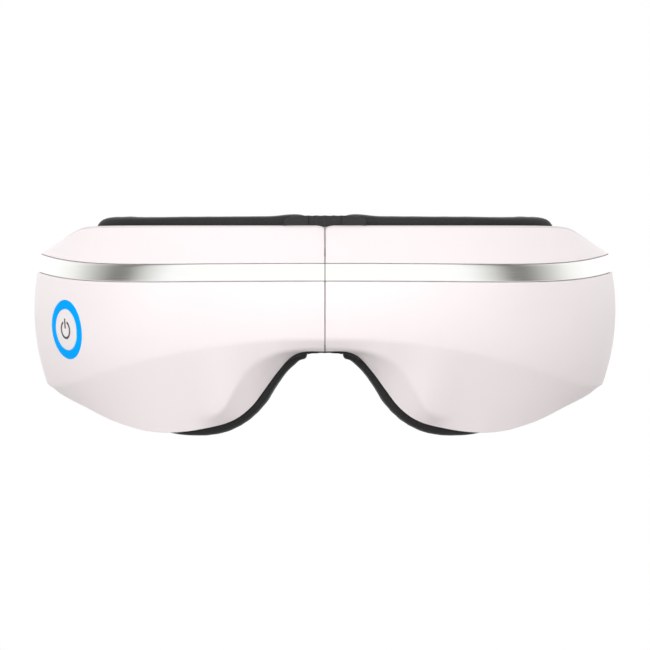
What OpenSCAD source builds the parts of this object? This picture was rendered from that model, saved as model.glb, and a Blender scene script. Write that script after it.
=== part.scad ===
// Folding eye massager mask.
// Two rigid visor halves meet at the bridge of the nose and fold on one
// vertical hinge.  Each half carries a shell, an inlaid trim band, a rear
// frame, a padded face cushion and an eye massage stack.
// Units are millimetres.  +X is the wearer's left, +Y points at the wearer's
// face, +Z is up.  The origin is the point between the wearer's eyes.

/* [Visor] */
// Half of the visor's width, from the seam to the temple
half_w = 97.2; // [95:0.1:99]
// How far back the temple tip of the outer face reaches
tip_depth = 66; // [64:0.5:68]
// Height of the top rim above the lowest point of the cheek lobes
visor_h = 69.8; // [68:0.1:71]
// Forward bulge of the front face, per millimetre squared
belly = 0.0086; // [0.0075:0.0001:0.0095]
// Wall thickness of the moulded shells
wall = 2.0; // [1.6:0.1:2.2]
// Gap between the seam faces of the two halves, each side
seam_gap = 0.25; // [0.15:0.05:0.35]

/* [Trim band] */
// Height of the inlaid trim band
band_h = 6.4; // [5.6:0.1:7]
// Depth of the groove the trim band lies in
groove = 0.8; // [0.6:0.1:1]

/* [Power button] */
// Diameter of the lit ring round the power button
ring_d = 20; // [19:0.5:21]
// Diameter of the power button's cap
cap_d = 13.86; // [13:0.02:14]
// How far the power button presses in
press = 0.7; // [0.5:0.1:0.8]

/* [Hinge] */
// Radius of the hinge knuckles
knuckle_r = 3.2; // [3:0.1:3.3]
// Diameter of the hinge pin
pin_d = 3; // [2.6:0.1:3.2]

/* [Cushion] */
// Thickness of the face cushion
pad_t = 12.5; // [11:0.5:13.5]
// Width of the opening round each eye
eye_w = 48; // [46:0.5:50]
// Height of the opening round each eye
eye_h = 40; // [38:0.5:42]

/* [Massage stack] */
// How far the air bag pushes the massage plate towards the eye
plate_travel = 4; // [2:0.5:4]
// Radius of each massage node
node_r = 2.8; // [2.4:0.1:3]

/* [Strap] */
// Width of the elastic strap
strap_w = 28; // [24:1:30]
// Thickness of the elastic strap
strap_t = 1.5; // [1.2:0.1:1.5]

/* [Hidden] */
$fn = 48;
seat_y = 31;
seat_z = 40;
z_belly = 41;
hinge_y = 22;
hinge_z0 = 30;
hinge_z1 = 68;
strap_z = 44;
t_btn = 0.785;
z_btn = 34.5;
eye_x = 40;
stack_x = 38;
eye_z = 39;

// ---------------------------------------------------------------- curves
function cube3(p, t) = pow(1 - t, 3) * p[0] + 3 * t * pow(1 - t, 2) * p[1]
    + 3 * t * t * (1 - t) * p[2] + pow(t, 3) * p[3];
function cube3d(p, t) = 3 * (pow(1 - t, 2) * (p[1] - p[0])
    + 2 * t * (1 - t) * (p[2] - p[1]) + t * t * (p[3] - p[2]));
front_pts = [[0, 0], [58, 0], [84, 24], [half_w, tip_depth]];
rear_pts = [[0, 18], [50, 18], [74, 35], [half_w - 6.2, tip_depth + 4.5]];
function O(t) = cube3(front_pts, t);
function R(t) = cube3(rear_pts, t);
function head(p, t) = let(d = cube3d(p, t)) atan2(d[1], d[0]);
function nR(t) = let(a = head(rear_pts, t)) [-sin(a), cos(a)];
function t_of(x, a = 0, b = 1, k = 0) = k > 22 ? (a + b) / 2
    : let(m = (a + b) / 2) R(m)[0] < x ? t_of(x, m, b, k + 1) : t_of(x, a, m, k + 1);

// smooth curve through hand-set points, level past both ends
function knot(P, x, i = 0) = (i >= len(P) - 2 || x <= P[i + 1][0]) ? i : knot(P, x, i + 1);
function slope(P, i) = let(a = max(0, i - 1), b = min(len(P) - 1, i + 1))
    (P[b][1] - P[a][1]) / (P[b][0] - P[a][0]);
function through(P, x) = let(i = knot(P, x), h = P[i + 1][0] - P[i][0],
    u = max(0, min(1, (x - P[i][0]) / h)), u2 = u * u, u3 = u2 * u)
    (2 * u3 - 3 * u2 + 1) * P[i][1] + (u3 - 2 * u2 + u) * h * slope(P, i)
    + (3 * u2 - 2 * u3) * P[i + 1][1] + (u3 - u2) * h * slope(P, i + 1);
function ease(a, b, x) = let(u = max(0, min(1, (x - a) / (b - a)))) u * u * (3 - 2 * u);

// bottom rim: nose arch, cheek lobe, temple
rim_low = [[0, 27.5], [7, 27.4], [12, 25.8], [16, 22], [20, 16.8], [24, 11.5],
    [29, 7], [34, 4], [42, 1.7], [51, 0.6], [58, 0.9], [64, 2.2], [72, 5],
    [81, 10], [91, 15.4]];
// fold line between the lower facet and the nose flank
fold_low = [[0, 28.4], [11, 27.7], [20, 25.3], [25.5, 21.5], [29.5, 15.5],
    [33.5, 8.7], [40.5, 2.4], [50, 0.8]];

function z_top(t) = let(x = R(t)[0] - 81.5) visor_h - 0.385 * (sqrt(x * x + 9) + x)
    + 0.385 * (sqrt(81.5 * 81.5 + 9) - 81.5);
function z_bt(t) = let(u = O(t)[0] / 95) 57.2 - 1.2 * u * u + 3.2 * pow(u, 8);
function z_cr(t) = let(x = O(t)[0], q = x * x) 31.7 - 0.00205 * q * q / (q + 300)
    + 3 * pow(max(0, (t - 0.72) / 0.28), 3);
function z_bot(t) = through(rim_low, R(t)[0]);
function F(z) = belly * pow(z - z_belly, 2);

// ------------------------------------------------- visor section, in [depth, z]
function inner_fold(t) = let(o = O(t), r = R(t), D = norm(r - o), zc = z_cr(t),
    C = [F(zc), zc], B = [D, z_bot(t)],
    fi = 0.22 + 0.62 * ease(16, 52, o[0]), xi = o[0] + fi * (r[0] - o[0]),
    zl = C[1] + (B[1] - C[1]) * (fi * D - C[0]) / (D - C[0]),
    w = ease(36, 52, o[0]))
    [fi * D, through(fold_low, min(xi, 50)) * (1 - w) + zl * w];
function sec_out(t) = let(D = norm(R(t) - O(t)), zt = z_top(t), za = z_bt(t),
    zb = za - band_h, zc = z_cr(t), C = [F(zc), zc], I = inner_fold(t), B = [D, z_bot(t)])
    concat(
        [for (i = [0:4]) [D + (F(za) - D) * i / 5, zt + (za - zt) * i / 5]],
        [[F(za), za]],
        [for (i = [0:3]) let(z = za + (zb - za) * i / 3) [F(z) + groove, z]],
        [for (i = [0:5]) let(z = zb + (zc - zb) * i / 6) [F(z), z]],
        [for (i = [0:3]) C + (I - C) * i / 4],
        [for (i = [0:3]) I + (B - I) * i / 3]);
function sec_in(t) = let(D = norm(R(t) - O(t)), zt = z_top(t), za = z_bt(t),
    zc = z_cr(t), C = [F(zc), zc], I = inner_fold(t), B = [D, z_bot(t)],
    kt = (zt - za) / (D - F(za)), zi = zt - wall * sqrt(1 + kt * kt),
    z1 = zi - (D - F(za) - wall) * kt, z2 = zi - (D - F(z1) - wall) * kt,
    z3 = zi - (D - F(z2) - wall) * kt,
    kc = (C[1] - I[1]) / (I[0] - C[0]), cc = sqrt(1 + kc * kc),
    kb = (I[1] - B[1]) / (B[0] - I[0]), cb = sqrt(1 + kb * kb),
    y1 = C[1] + wall * cc - wall * kc,
    y2 = C[1] + wall * cc - (F(y1) + wall - C[0]) * kc,
    n1 = [kc, 1] / cc, n2 = [kb, 1] / cb, nb = (n1 + n2) / norm(n1 + n2),
    J = I + nb * wall / (nb * n1),
    Cn = F(y2) + wall, Jn = min(D - 0.2, max(J[0], Cn + 0.3 * (D - Cn))))
    concat(
        [for (i = [0:4]) [D + (F(z3) + wall - D) * i / 5, zi + (z3 - zi) * i / 5]],
        [for (i = [0:6]) let(z = z3 + (y2 - z3) * i / 7) [F(z) + wall, z]],
        [for (i = [0:2]) [Cn, y2] + ([Jn, J[1]] - [Cn, y2]) * i / 3],
        [for (i = [0:3]) [Jn, J[1]] + ([D, B[1] + wall * cb] - [Jn, J[1]]) * i / 3]);
function lift(t, s, x0 = -1) = let(o = O(t), r = R(t), d = (r - o) / norm(r - o))
    [for (p = s) [x0 < 0 ? o[0] + p[0] * d[0] : x0, o[1] + p[0] * d[1], p[1]]];

n_a = 13;
n_b = 18;
n_st = n_a + n_b;
function station(i) = i <= n_a ? 0.3 * i / n_a : 0.3 + 0.7 * (i - n_a) / n_b;
function station_in(i) = 0.0135 + (0.982 - 0.0135) * station(i);

function rev(v) = [for (i = [len(v) - 1:-1:0]) v[i]];
module visor_half() {
    M = 24;
    K = 19;
    outer = [for (i = [0:n_st]) each lift(station(i), sec_out(station(i)), i == 0 ? seam_gap : -1)];
    inner = [for (i = [0:n_st]) each lift(station_in(i), sec_in(station_in(i)), i == 0 ? seam_gap + wall : -1)];
    b = len(outer);
    e = b + len(inner);
    function q(i, up) = let(t = station(i), r = R(t)) [i == 0 ? seam_gap : r[0], r[1], up ? z_bt(t) : z_bt(t) - band_h];
    pts = concat(outer, inner, [q(0, true), q(0, false), q(n_st, true), q(n_st, false)]);
    L = n_st * M;
    LI = b + n_st * K;
    polyhedron(points = pts, convexity = 8, faces = concat(
        [for (i = [0:n_st - 1], j = [0:M - 2])
            [i * M + j, (i + 1) * M + j, (i + 1) * M + j + 1, i * M + j + 1]],
        [for (i = [0:n_st - 1], j = [0:K - 2])
            [b + i * K + j, b + i * K + j + 1, b + (i + 1) * K + j + 1, b + (i + 1) * K + j]],
        // seam wall, outside
        [concat([6, e], [for (j = [0:5]) j])],
        [concat([e, 6, 7, 8, 9], [e + 1])],
        [concat([for (j = [9:M - 1]) j], [e + 1])],
        // temple wall, outside
        [concat([L + 6], [for (j = [5:-1:0]) L + j], [e + 2])],
        [concat([e + 2, e + 3], [for (j = [9:-1:6]) L + j])],
        [concat([L + 9, e + 3], [for (j = [M - 1:-1:10]) L + j])],
        // seam and temple walls, inside
        [[for (j = [0:K - 1]) b + (8 - j + 2 * K) % K]],
        [[for (j = [0:K - 1]) LI + (8 + j) % K]],
        // rear rim
        [for (i = [0:n_st - 1]) [(i + 1) * M, i * M, b + i * K, b + (i + 1) * K]],
        [for (i = [0:n_st - 1]) [b + (i + 1) * K + K - 1, b + i * K + K - 1, i * M + M - 1, (i + 1) * M + M - 1]],
        [[b, 0, e, e + 1, M - 1, b + K - 1]],
        [[LI, LI + K - 1, L + M - 1, e + 3, e + 2, L]]));
}

// closed tube through rings of points; rings run clockwise seen from their start
module rings(P) {
    n = len(P);
    m = len(P[0]);
    h = m / 2;
    polyhedron(points = [for (r = P) each r], convexity = 6, faces = concat(
        [for (i = [0:n - 2], k = [0:m - 1])
            [i * m + k, (i + 1) * m + k, (i + 1) * m + (k + 1) % m, i * m + (k + 1) % m]],
        [for (k = [0:h - 2]) [k, k + 1, m - 2 - k, m - 1 - k]],
        [for (k = [0:h - 2]) let(s = (n - 1) * m) [s + k + 1, s + k, s + m - 1 - k, s + m - 2 - k]]));
}

module band_half() {
    rings([for (i = [0:n_st]) let(t = station(i), za = z_bt(t) - 0.05, zb = z_bt(t) - band_h + 0.05)
        lift(t, concat(
            [for (k = [0:3]) let(z = za + (zb - za) * k / 3) [F(z), z]],
            [for (k = [3:-1:0]) let(z = za + (zb - za) * k / 3) [F(z) + groove - 0.05, z]]),
            i == 0 ? seam_gap : -1)]);
}

// plate that follows the rear surface between two offsets
module ribbon(h0, h1, xa, tb, zt_in, zb_in, n = 20) {
    ta = t_of(xa);
    rings([for (i = [0:n]) let(t = ta + (tb - ta) * i / n, r = R(t), v = nR(t),
        a = z_top(t) - zt_in, c = z_bot(t) + zb_in, p = r + h0 * v, s = r + h1 * v)
        [[p[0], p[1], a], [p[0], p[1], c], [s[0], s[1], c], [s[0], s[1], a]]]);
}

// local Z along the rear surface's normal, towards the face
module on_rear(t, z) {
    r = R(t);
    translate([r[0], r[1], z]) rotate([0, 0, head(rear_pts, t)]) rotate([-90, 0, 0]) children();
}
// local Z along the front surface's outward normal
module on_face(t, z) {
    o = O(t);
    d = (R(t) - o) / norm(R(t) - o);
    translate([o[0] + F(z) * d[0], o[1] + F(z) * d[1], z])
        rotate([0, 0, head(front_pts, t)])
            rotate([90 + atan(2 * belly * (z_belly - z)), 0, 0]) children();
}
// inside the visor: X along the wing, Y towards the face, Z up
module in_wing(t, n, z) {
    o = O(t);
    d = (R(t) - o) / norm(R(t) - o);
    translate([o[0] + n * d[0], o[1] + n * d[1], z])
        rotate([0, 0, (head(front_pts, t) + head(rear_pts, t)) / 2]) children();
}
module left() { translate([0, -seat_y, -seat_z]) children(); }
module right() { translate([0, -seat_y, -seat_z]) mirror([1, 0, 0]) children(); }

module block(x, y, z) { translate([x[0], y[0], z[0]]) cube([x[1] - x[0], y[1] - y[0], z[1] - z[0]]); }
module rod(r, a, b) { translate([0, 0, a]) cylinder(r = r, h = b - a); }

// ---------------------------------------------------------------- shells
module right_shell() color([0.96, 0.94, 0.94]) right() difference() {
    visor_half();
    on_face(t_btn, z_btn) rod(ring_d / 2 + 0.05, -8, 8);
    link_hole();
    usb_place() usb_form(4.75, 1.85, -6, 4);
}
module left_shell() color([0.96, 0.94, 0.94]) left() difference() {
    visor_half();
    link_hole();
}
module right_trim_band() color([0.8, 0.8, 0.79]) right() band_half();
module left_trim_band() color([0.8, 0.8, 0.79]) left() band_half();

// ---------------------------------------------------------------- frames
screw_at = [[0.125, 35], [0.2, 60], [0.6, 60], [0.84, 21]];
tube_t = 0.42;
tube_z = 50;
module frame_half() {
    difference() {
        ribbon(0.1, 2.1, 14.2, 0.995, 0.5, 0.5, 24);
        for (s = screw_at) on_rear(s[0], s[1]) {
            rod(1.3, -1, 4);
            translate([0, 0, 0.8]) cylinder(r1 = 1.3, r2 = 2.6, h = 1.35);
        }
        on_rear(tube_t, tube_z) rod(1.75, -1, 4);
    }
}
module right_frame() color([0.16, 0.16, 0.17]) right() frame_half();
module left_frame() color([0.16, 0.16, 0.17]) left() difference() {
    frame_half();
    on_rear(0.76, 38) {
        rod(0.8, -1, 4);
        for (a = [0:60:300]) rotate([0, 0, a]) translate([3.6, 0, 0]) rod(0.8, -1, 4);
    }
}
module screw(len_in) {
    translate([0, 0, 0.86]) cylinder(r1 = 1.1, r2 = 2.4, h = 1.2);
    rod(1.05, -len_in, 0.9);
}
module boss_set() {
    for (s = screw_at) on_rear(s[0], s[1]) difference() {
        rod(2.4, s[1] == 35 ? -11 : -3.4, 0);
        rod(1.1, -20, 1);
    }
}
module right_bosses() color([0.9, 0.89, 0.89]) right() boss_set();
module left_bosses() color([0.9, 0.89, 0.89]) left() boss_set();
module frame_screws() { for (s = screw_at) on_rear(s[0], s[1]) screw(s[1] == 35 ? 8 : 2.8); }
module right_frame_screws() color([0.7, 0.7, 0.72]) right() frame_screws();
module left_frame_screws() color([0.7, 0.7, 0.72]) left() frame_screws();

// ---------------------------------------------------------------- hinge
// knuckle rows: right half holds the odd ones, left half the even ones
knuckles = 5;
kn_h = (hinge_z1 - hinge_z0) / knuckles;
module leaf(odd) {
    difference() {
        union() {
            block([3.6, 13.6], [18.2, 20.2], [hinge_z0, hinge_z1]);
            for (k = [0:knuckles - 1]) if (k % 2 == (odd ? 1 : 0)) {
                z0 = hinge_z0 + k * kn_h + 0.35;
                z1 = hinge_z0 + (k + 1) * kn_h - 0.35;
                translate([0, hinge_y, 0]) rod(knuckle_r, z0, z1);
                block([0.6, 5], [18.85, 20.2], [z0, z1]);
            }
        }
        translate([0, hinge_y, 0]) rod(pin_d / 2 + (odd ? 0.06 : 0.01), 0, 90);
        for (z = [37.5, 45.5, 53.5]) translate([9.2, 20.2, z]) rotate([90, 0, 0]) {
            rod(1.3, -1, 4);
            translate([0, 0, -0.01]) cylinder(r1 = 2.5, r2 = 1.3, h = 1.2);
        }
    }
}
module right_hinge_leaf() color([0.72, 0.73, 0.75]) right() leaf(false);
module left_hinge_leaf() color([0.72, 0.73, 0.75]) left() leaf(true);
module hinge_pin() color([0.6, 0.61, 0.63]) left() translate([0, hinge_y, 0]) {
    rod(pin_d / 2, hinge_z0 - 0.2, hinge_z1 + 0.2);
    rod(2.4, hinge_z1 + 0.15, hinge_z1 + 1.2);
}
module hinge_washers() color([0.85, 0.8, 0.55]) left() translate([0, hinge_y, 0])
    for (k = [1:knuckles - 1]) difference() {
        rod(2.9, hinge_z0 + k * kn_h - 0.3, hinge_z0 + k * kn_h + 0.3);
        rod(pin_d / 2 + 0.08, 0, 90);
    }
module hinge_block() {
    difference() {
        block([2.3, 13.6], [6.9, 18.15], [34, 57]);
        for (z = [37.5, 45.5, 53.5]) translate([9.2, 18.2, z]) rotate([90, 0, 0]) rod(1.1, -1, 8);
    }
}
module right_hinge_block() color([0.9, 0.89, 0.89]) right() hinge_block();
module left_hinge_block() color([0.9, 0.89, 0.89]) left() hinge_block();
module hinge_screws() {
    for (z = [37.5, 45.5, 53.5]) translate([9.2, 20.2, z]) rotate([90, 0, 0]) {
        translate([0, 0, 0.05]) cylinder(r1 = 2.35, r2 = 1.1, h = 1.2);
        rod(1.05, 1.2, 8.5);
    }
}
module right_hinge_screws() color([0.7, 0.7, 0.72]) right() hinge_screws();
module left_hinge_screws() color([0.7, 0.7, 0.72]) left() hinge_screws();

// ---------------------------------------------------------------- cushions
// outline of one cushion, anticlockwise from the seam's top corner
pad_line = [[6, 62], [6, 72.4], [20, 72.5], [35, 72.4], [50, 72.3], [62, 72.4],
    [69, 72.9], [74.5, 71.5], [77.3, 66], [78, 56], [78, 44], [77.5, 33],
    [76, 22], [73, 13], [68, 7], [61, 2.6], [52, 0.3], [44, -0.1], [37, 0.5],
    [31, 2.5], [25.5, 6], [20.5, 11], [16.5, 17], [13, 21.5], [9, 24.8],
    [6, 26.6], [6, 38], [6, 50]];
function wrap(i) = (i + 2 * len(pad_line)) % len(pad_line);
function spline(a, b, c, d, u) = 0.5 * ((2 * b) + (c - a) * u
    + (2 * a - 5 * b + 4 * c - d) * u * u + (3 * b - a - 3 * c + d) * pow(u, 3));
function pad_edge(s) = let(i = floor(s), p = spline(pad_line[wrap(i - 1)], pad_line[wrap(i)],
    pad_line[wrap(i + 1)], pad_line[wrap(i + 2)], s - i)) [max(6, p[0]), p[1]];
function oval(a, w, h, p = 2.4) = let(c = cos(a), s = sin(a),
    r = pow(pow(abs(c) / (w / 2), p) + pow(abs(s) / (h / 2), p), -1 / p)) [eye_x + r * c, eye_z + r * s];
// share across from the outer edge to the opening, and share of the thickness
pad_form = [[0.04, 0], [0, 0.28], [0.02, 0.55], [0.1, 0.8], [0.24, 0.95], [0.42, 1],
    [0.6, 1], [0.78, 0.95], [0.9, 0.82], [0.98, 0.6], [1, 0.3], [0.97, 0], [0.65, 0], [0.35, 0]];
function over(x, z, h) = let(t = t_of(x), p = R(t) + h * nR(t)) [p[0], min(p[1], hinge_y + p[0] - 0.6), z];
module cushion_half() {
    n = 56;
    m = len(pad_form);
    P = [for (i = [0:n - 1]) let(e = pad_edge(i * 28 / n), a = atan2(e[1] - eye_z, e[0] - eye_x), o = oval(a, eye_w, eye_h))
        [for (f = pad_form) let(q = e + (o - e) * f[0]) over(q[0], q[1], 2.3 + pad_t * f[1])]];
    polyhedron(points = [for (r = P) each r], convexity = 8, faces =
        [for (i = [0:n - 1], k = [0:m - 1]) let(j = (i + 1) % n, l = (k + 1) % m)
            [i * m + l, j * m + l, j * m + k, i * m + k]]);
}
module right_cushion() color([0.16, 0.16, 0.17]) right() cushion_half();
module left_cushion() color([0.16, 0.16, 0.17]) left() cushion_half();
module bridge_gusset() color([0.14, 0.14, 0.15]) left() difference() {
    block([-5.6, 5.6], [18.4, 28.2], [27.3, 72.5]);
    block([-8, 8], [17, 25.7], [29.4, 70]);
}

// ------------------------------------------------- power button, right wing
module btn() { right() on_face(t_btn, z_btn) children(); }
module light_ring() color([0, 0.6, 0.98]) btn() difference() {
    union() {
        rod(ring_d / 2, -4.5, -0.25);
        rod(ring_d / 2 + 1.4, -4.9, -3.9);
    }
    rod(cap_d / 2 + 0.07, -6, 1);
}
module button_cap() color([0.97, 0.95, 0.95]) btn() {
    rod(cap_d / 2, -4.95, -0.1);
    rod(cap_d / 2 + 0.9, -5.7, -4.95);
    rod(1.4, -6.4, -5.6);
}
module power_symbol() color([0.45, 0.45, 0.46]) btn() translate([0, 0, -0.1]) rotate([0, 0, 90]) {
    difference() {
        rod(2.95, 0, 0.15);
        rod(2.45, -1, 1);
        block([0, 4], [-1.1, 1.1], [-1, 1]);
    }
    block([0.4, 3.7], [-0.25, 0.25], [0, 0.15]);
}
module tact_switch() color([0.2, 0.2, 0.22]) btn() {
    block([-2.6, 2.6], [-2.6, 2.6], [-9.3, -7.6]);
    rod(1.2, -7.65, -6.5 - press);
}
module button_board() color([0.1, 0.35, 0.2]) btn() difference() {
    block([-5.5, 4.2], [-6.6, 8], [-10, -9.3]);
    for (y = [-5.2, 6]) translate([0, y, 0]) rod(0.8, -12, 0);
}

// ---------------------------------------------------------------- electronics
module main_board() color([0.1, 0.35, 0.2]) right() in_wing(0.29, 8, 40) difference() {
    block([-14, 14], [0, 1.2], [-11, 9]);
    for (x = [-12, 12]) translate([x, 0, -9]) rotate([-90, 0, 0]) rod(0.9, -1, 3);
}
module main_chips() color([0.08, 0.08, 0.09]) right() in_wing(0.29, 8, 40) {
    block([-5, 2], [-1, 0], [-4, 3]);
    block([5, 10], [-1.4, 0], [-2, 2]);
    block([-11, -7], [1.2, 2.4], [-3, 3]);
}
module usb_place() { in_wing(1, 4.6, 40) rotate([0, 90, 0]) children(); }
module usb_form(w, h, a, b) {
    hull() for (x = [-w + h, w - h]) translate([x, 0, a]) cylinder(r = h, h = b - a, $fn = 32);
}
module usb_c_socket() color([0.75, 0.76, 0.78]) right() usb_place() difference() {
    usb_form(4.5, 1.6, -7.6, -1);
    usb_form(4.2, 1.3, -6.8, 1);
}
module battery_pack() color([0.25, 0.45, 0.7]) left() in_wing(0.66, 7.9, 41) {
    block([-14, 14], [-2.6, 2.6], [-12, 11]);
    block([-10, 10], [-1.6, 1.6], [11, 12.5]);
}
module speaker() color([0.3, 0.3, 0.32]) left() on_rear(0.76, 38) {
    difference() {
        rod(6.5, -1.6, -0.05);
        rod(5.2, -0.7, 1);
    }
    rod(4, -2.2, -1.5);
}

// ---------------------------------------------------------------- air system
pump_at = [0.28, 9];
module pump_motor() color([0.72, 0.73, 0.75]) left() in_wing(pump_at[0], pump_at[1], 0) difference() {
    rod(5, 32, 44);
    rod(0.85, 40, 50);
}
module pump_head() color([0.2, 0.2, 0.22]) left() in_wing(pump_at[0], pump_at[1], 0) {
    difference() {
        rod(5.4, 44.05, 54);
        rod(4.2, 40, 50.5);
    }
    translate([0, 0, 0]) rod(1.3, 53.9, 56.5);
}
module pump_rotor() color([0.85, 0.7, 0.35]) left() in_wing(pump_at[0], pump_at[1], 0) {
    rod(0.8, 41, 45.2);
    rod(3.4, 45.1, 46.6);
    translate([1.8, 0, 0]) rod(0.8, 46.5, 49.8);
}
module valve_body() color([0.15, 0.3, 0.55]) left() in_wing(0.17, 11, 44) difference() {
    block([-4, 4], [-3.2, 3.2], [-5, 5]);
    rod(1.55, -3, 6);
}
module valve_plunger() color([0.8, 0.8, 0.82]) left() in_wing(0.17, 11, 44) {
    rod(1.5, -1, 5.6);
    rod(2, 6.1, 6.9);
    rod(0.9, 5.5, 6.2);
}
module tube_half() {
    on_rear(tube_t, tube_z) difference() {
        rod(1.6, -6, 2.2);
        rod(0.9, -8, 4);
    }
}
module right_air_tube() color([0.86, 0.86, 0.84]) right() tube_half();
module left_air_tube() color([0.86, 0.86, 0.84]) left() tube_half();
module link_hole() { translate([0, 14.6, 60.6]) rotate([0, 90, 0]) rod(1.9, -1, 6); }
module flex_link() color([0.2, 0.2, 0.21]) left() translate([0, 14.6, 60.6]) rotate([0, 90, 0]) {
    rod(1.6, -14, 14);
    for (s = [-1, 1]) translate([0, 0, s * 12]) rod(2.1, -2.5, 2.5);
}

// ---------------------------------------------------------------- vibration motors
module motor_place() { in_wing(0.5, 8, 56) rotate([0, 90, 0]) children(); }
module motor_can_half() {
    motor_place() difference() {
        rod(2.2, -9, 1);
        rod(0.5, -3, 4);
    }
}
module motor_weight_half() {
    motor_place() {
        rod(0.45, -2, 6);
        difference() {
            rod(2.1, 1.6, 5.2);
            translate([-8.3, -4, 0]) cube([8, 8, 8]);
        }
    }
}
module right_motor_can() color([0.72, 0.73, 0.75]) right() motor_can_half();
module left_motor_can() color([0.72, 0.73, 0.75]) left() motor_can_half();
module right_motor_weight() color([0.5, 0.5, 0.52]) right() motor_weight_half();
module left_motor_weight() color([0.5, 0.5, 0.52]) left() motor_weight_half();

// ---------------------------------------------------------------- massage stack
// a slab that keeps the rear surface's curve, cut to the eye's oval; square lays it square to that surface
function yR(x) = R(t_of(x))[1];
function lay(p, h, square) = let(t = t_of(p[0]), q = R(t) + h * nR(t)) square ? [q[0], q[1], p[1]] : [p[0], R(t)[1] + h, p[1]];
module slab(h0, h1, w, h, n = 40, square = false) {
    c = [square ? eye_x : stack_x, eye_z];
    pts = [for (g = [h0, h1]) each concat([lay(c, g, square)],
        [for (k = [1:2], i = [0:n - 1]) lay(c + (oval(i * 360 / n, w, h) - [eye_x, eye_z]) * k / 2, g, square)])];
    s = 2 * n + 1;
    polyhedron(points = pts, convexity = 4, faces = concat(
        [for (i = [0:n - 1]) [0, 1 + (i + 1) % n, 1 + i]],
        [for (i = [0:n - 1]) [1 + i, 1 + (i + 1) % n, 1 + n + (i + 1) % n, 1 + n + i]],
        [for (i = [0:n - 1]) [s, s + 1 + i, s + 1 + (i + 1) % n]],
        [for (i = [0:n - 1]) [s + 1 + (i + 1) % n, s + 1 + i, s + 1 + n + i, s + 1 + n + (i + 1) % n]],
        [for (i = [0:n - 1]) [1 + n + i, 1 + n + (i + 1) % n, s + 1 + n + (i + 1) % n, s + 1 + n + i]]));
}
knobs = [[-11, 0], [11, 0], [-5.5, 9], [5.5, 9], [-5.5, -9], [5.5, -9], [0, 0]];
module on_plate(k, h) {
    translate([stack_x + k[0], yR(stack_x + k[0]) + h, eye_z + k[1]]) rotate([-90, 0, 16]) children();
}
module airbag_half() { slab(2.4, 2.4 + 0.8 * plate_travel, 38, 31); }
module plate_half() {
    slab(5.9, 7.3, 38, 31);
    for (k = knobs) on_plate(k, 7) {
        rod(node_r, 0.1, 1);
        intersection() {
            translate([0, 0, 1]) sphere(r = node_r, $fn = 24);
            rod(node_r + 1, 0.6, 5);
        }
    }
}
module heater_half() {
    difference() {
        slab(7.4, 7.8, 36, 29);
        for (k = knobs) on_plate(k, 7) rod(node_r + 0.6, -4, 4);
    }
}
module membrane_half() { slab(11.4, 12.6, 43, 35, square = true); }
module right_airbag() color([0.75, 0.78, 0.8]) right() airbag_half();
module left_airbag() color([0.75, 0.78, 0.8]) left() airbag_half();
module right_massage_plate() color([0.3, 0.3, 0.32]) right() plate_half();
module left_massage_plate() color([0.3, 0.3, 0.32]) left() plate_half();
module right_heater() color([0.75, 0.45, 0.15]) right() heater_half();
module left_heater() color([0.75, 0.45, 0.15]) left() heater_half();
module right_membrane() color([0.2, 0.2, 0.21]) right() membrane_half();
module left_membrane() color([0.2, 0.2, 0.21]) left() membrane_half();

// ---------------------------------------------------------------- strap
anchor_t = 0.9;
bar_h = 6.5;
function bar_at() = R(anchor_t) + bar_h * nR(anchor_t);
module anchor_half() {
    zc = strap_z - seat_z + 40;
    difference() {
    on_rear(anchor_t, zc) {
        difference() {
            block([-4, 4], [-strap_w / 2 - 3, strap_w / 2 + 3], [2, 3.1]);
            for (y = [-11, 11]) translate([0, y, 0]) rod(1, 0, 6);
        }
        for (s = [-1, 1]) hull() {
            translate([0, s * (strap_w / 2 + 2), 2.4]) cube([8, 2, 0.8], center = true);
            translate([0, s * (strap_w / 2 + 2), bar_h]) rotate([90, 0, 0]) cylinder(r = 2.2, h = 2, center = true, $fn = 32);
        }
        translate([0, 0, bar_h]) rotate([90, 0, 0]) cylinder(r = 1.5, h = strap_w + 4, center = true);
    }
    // the base is fitted to the frame plate
    ribbon(-2, 2.13, 14.2, 0.995, -1, -1, 24);
    }
}
module right_strap_anchor() color([0.16, 0.16, 0.17]) right() anchor_half();
module left_strap_anchor() color([0.16, 0.16, 0.17]) left() anchor_half();
module strap_end() {
    b = bar_at();
    r0 = 1.7;
    translate([b[0], b[1], 0]) intersection() {
        difference() { circle(r0 + strap_t); circle(r0); }
        translate([0, -5]) square([6, 10]);
    }
    translate([36, b[1] + r0]) square([b[0] - 36, strap_t]);
    translate([0, b[1] - r0 - strap_t]) square([b[0], strap_t]);
}
module strap_band() color([0.1, 0.1, 0.11]) translate([0, -seat_y, -seat_z])
    translate([0, 0, strap_z - strap_w / 2]) linear_extrude(strap_w) {
        strap_end();
        mirror([1, 0]) strap_end();
        b = bar_at();
        translate([-1, b[1] - 1.7 - strap_t]) square([2, strap_t]);
    }
module adjuster_half() {
    b = bar_at();
    y = b[1];
    difference() {
        block([57.5, 66.5], [y - 1.7 - strap_t - 1.6, y + 1.7 + strap_t + 1.6], [strap_z - strap_w / 2 - 2.6, strap_z + strap_w / 2 + 2.6]);
        block([50, 70], [y - 1.7 - strap_t - 0.3, y + 1.7 + strap_t + 0.3], [strap_z - strap_w / 2 - 0.4, strap_z + strap_w / 2 + 0.4]);
        block([60, 64], [y - 10, y + 10], [strap_z - strap_w / 2 + 1.5, strap_z + strap_w / 2 - 1.5]);
    }
    translate([62, y, strap_z - strap_w / 2 - 1]) cylinder(r = 1.3, h = strap_w + 2);
}
module right_adjuster() color([0.16, 0.16, 0.17]) right() adjuster_half();
module left_adjuster() color([0.16, 0.16, 0.17]) left() adjuster_half();

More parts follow.
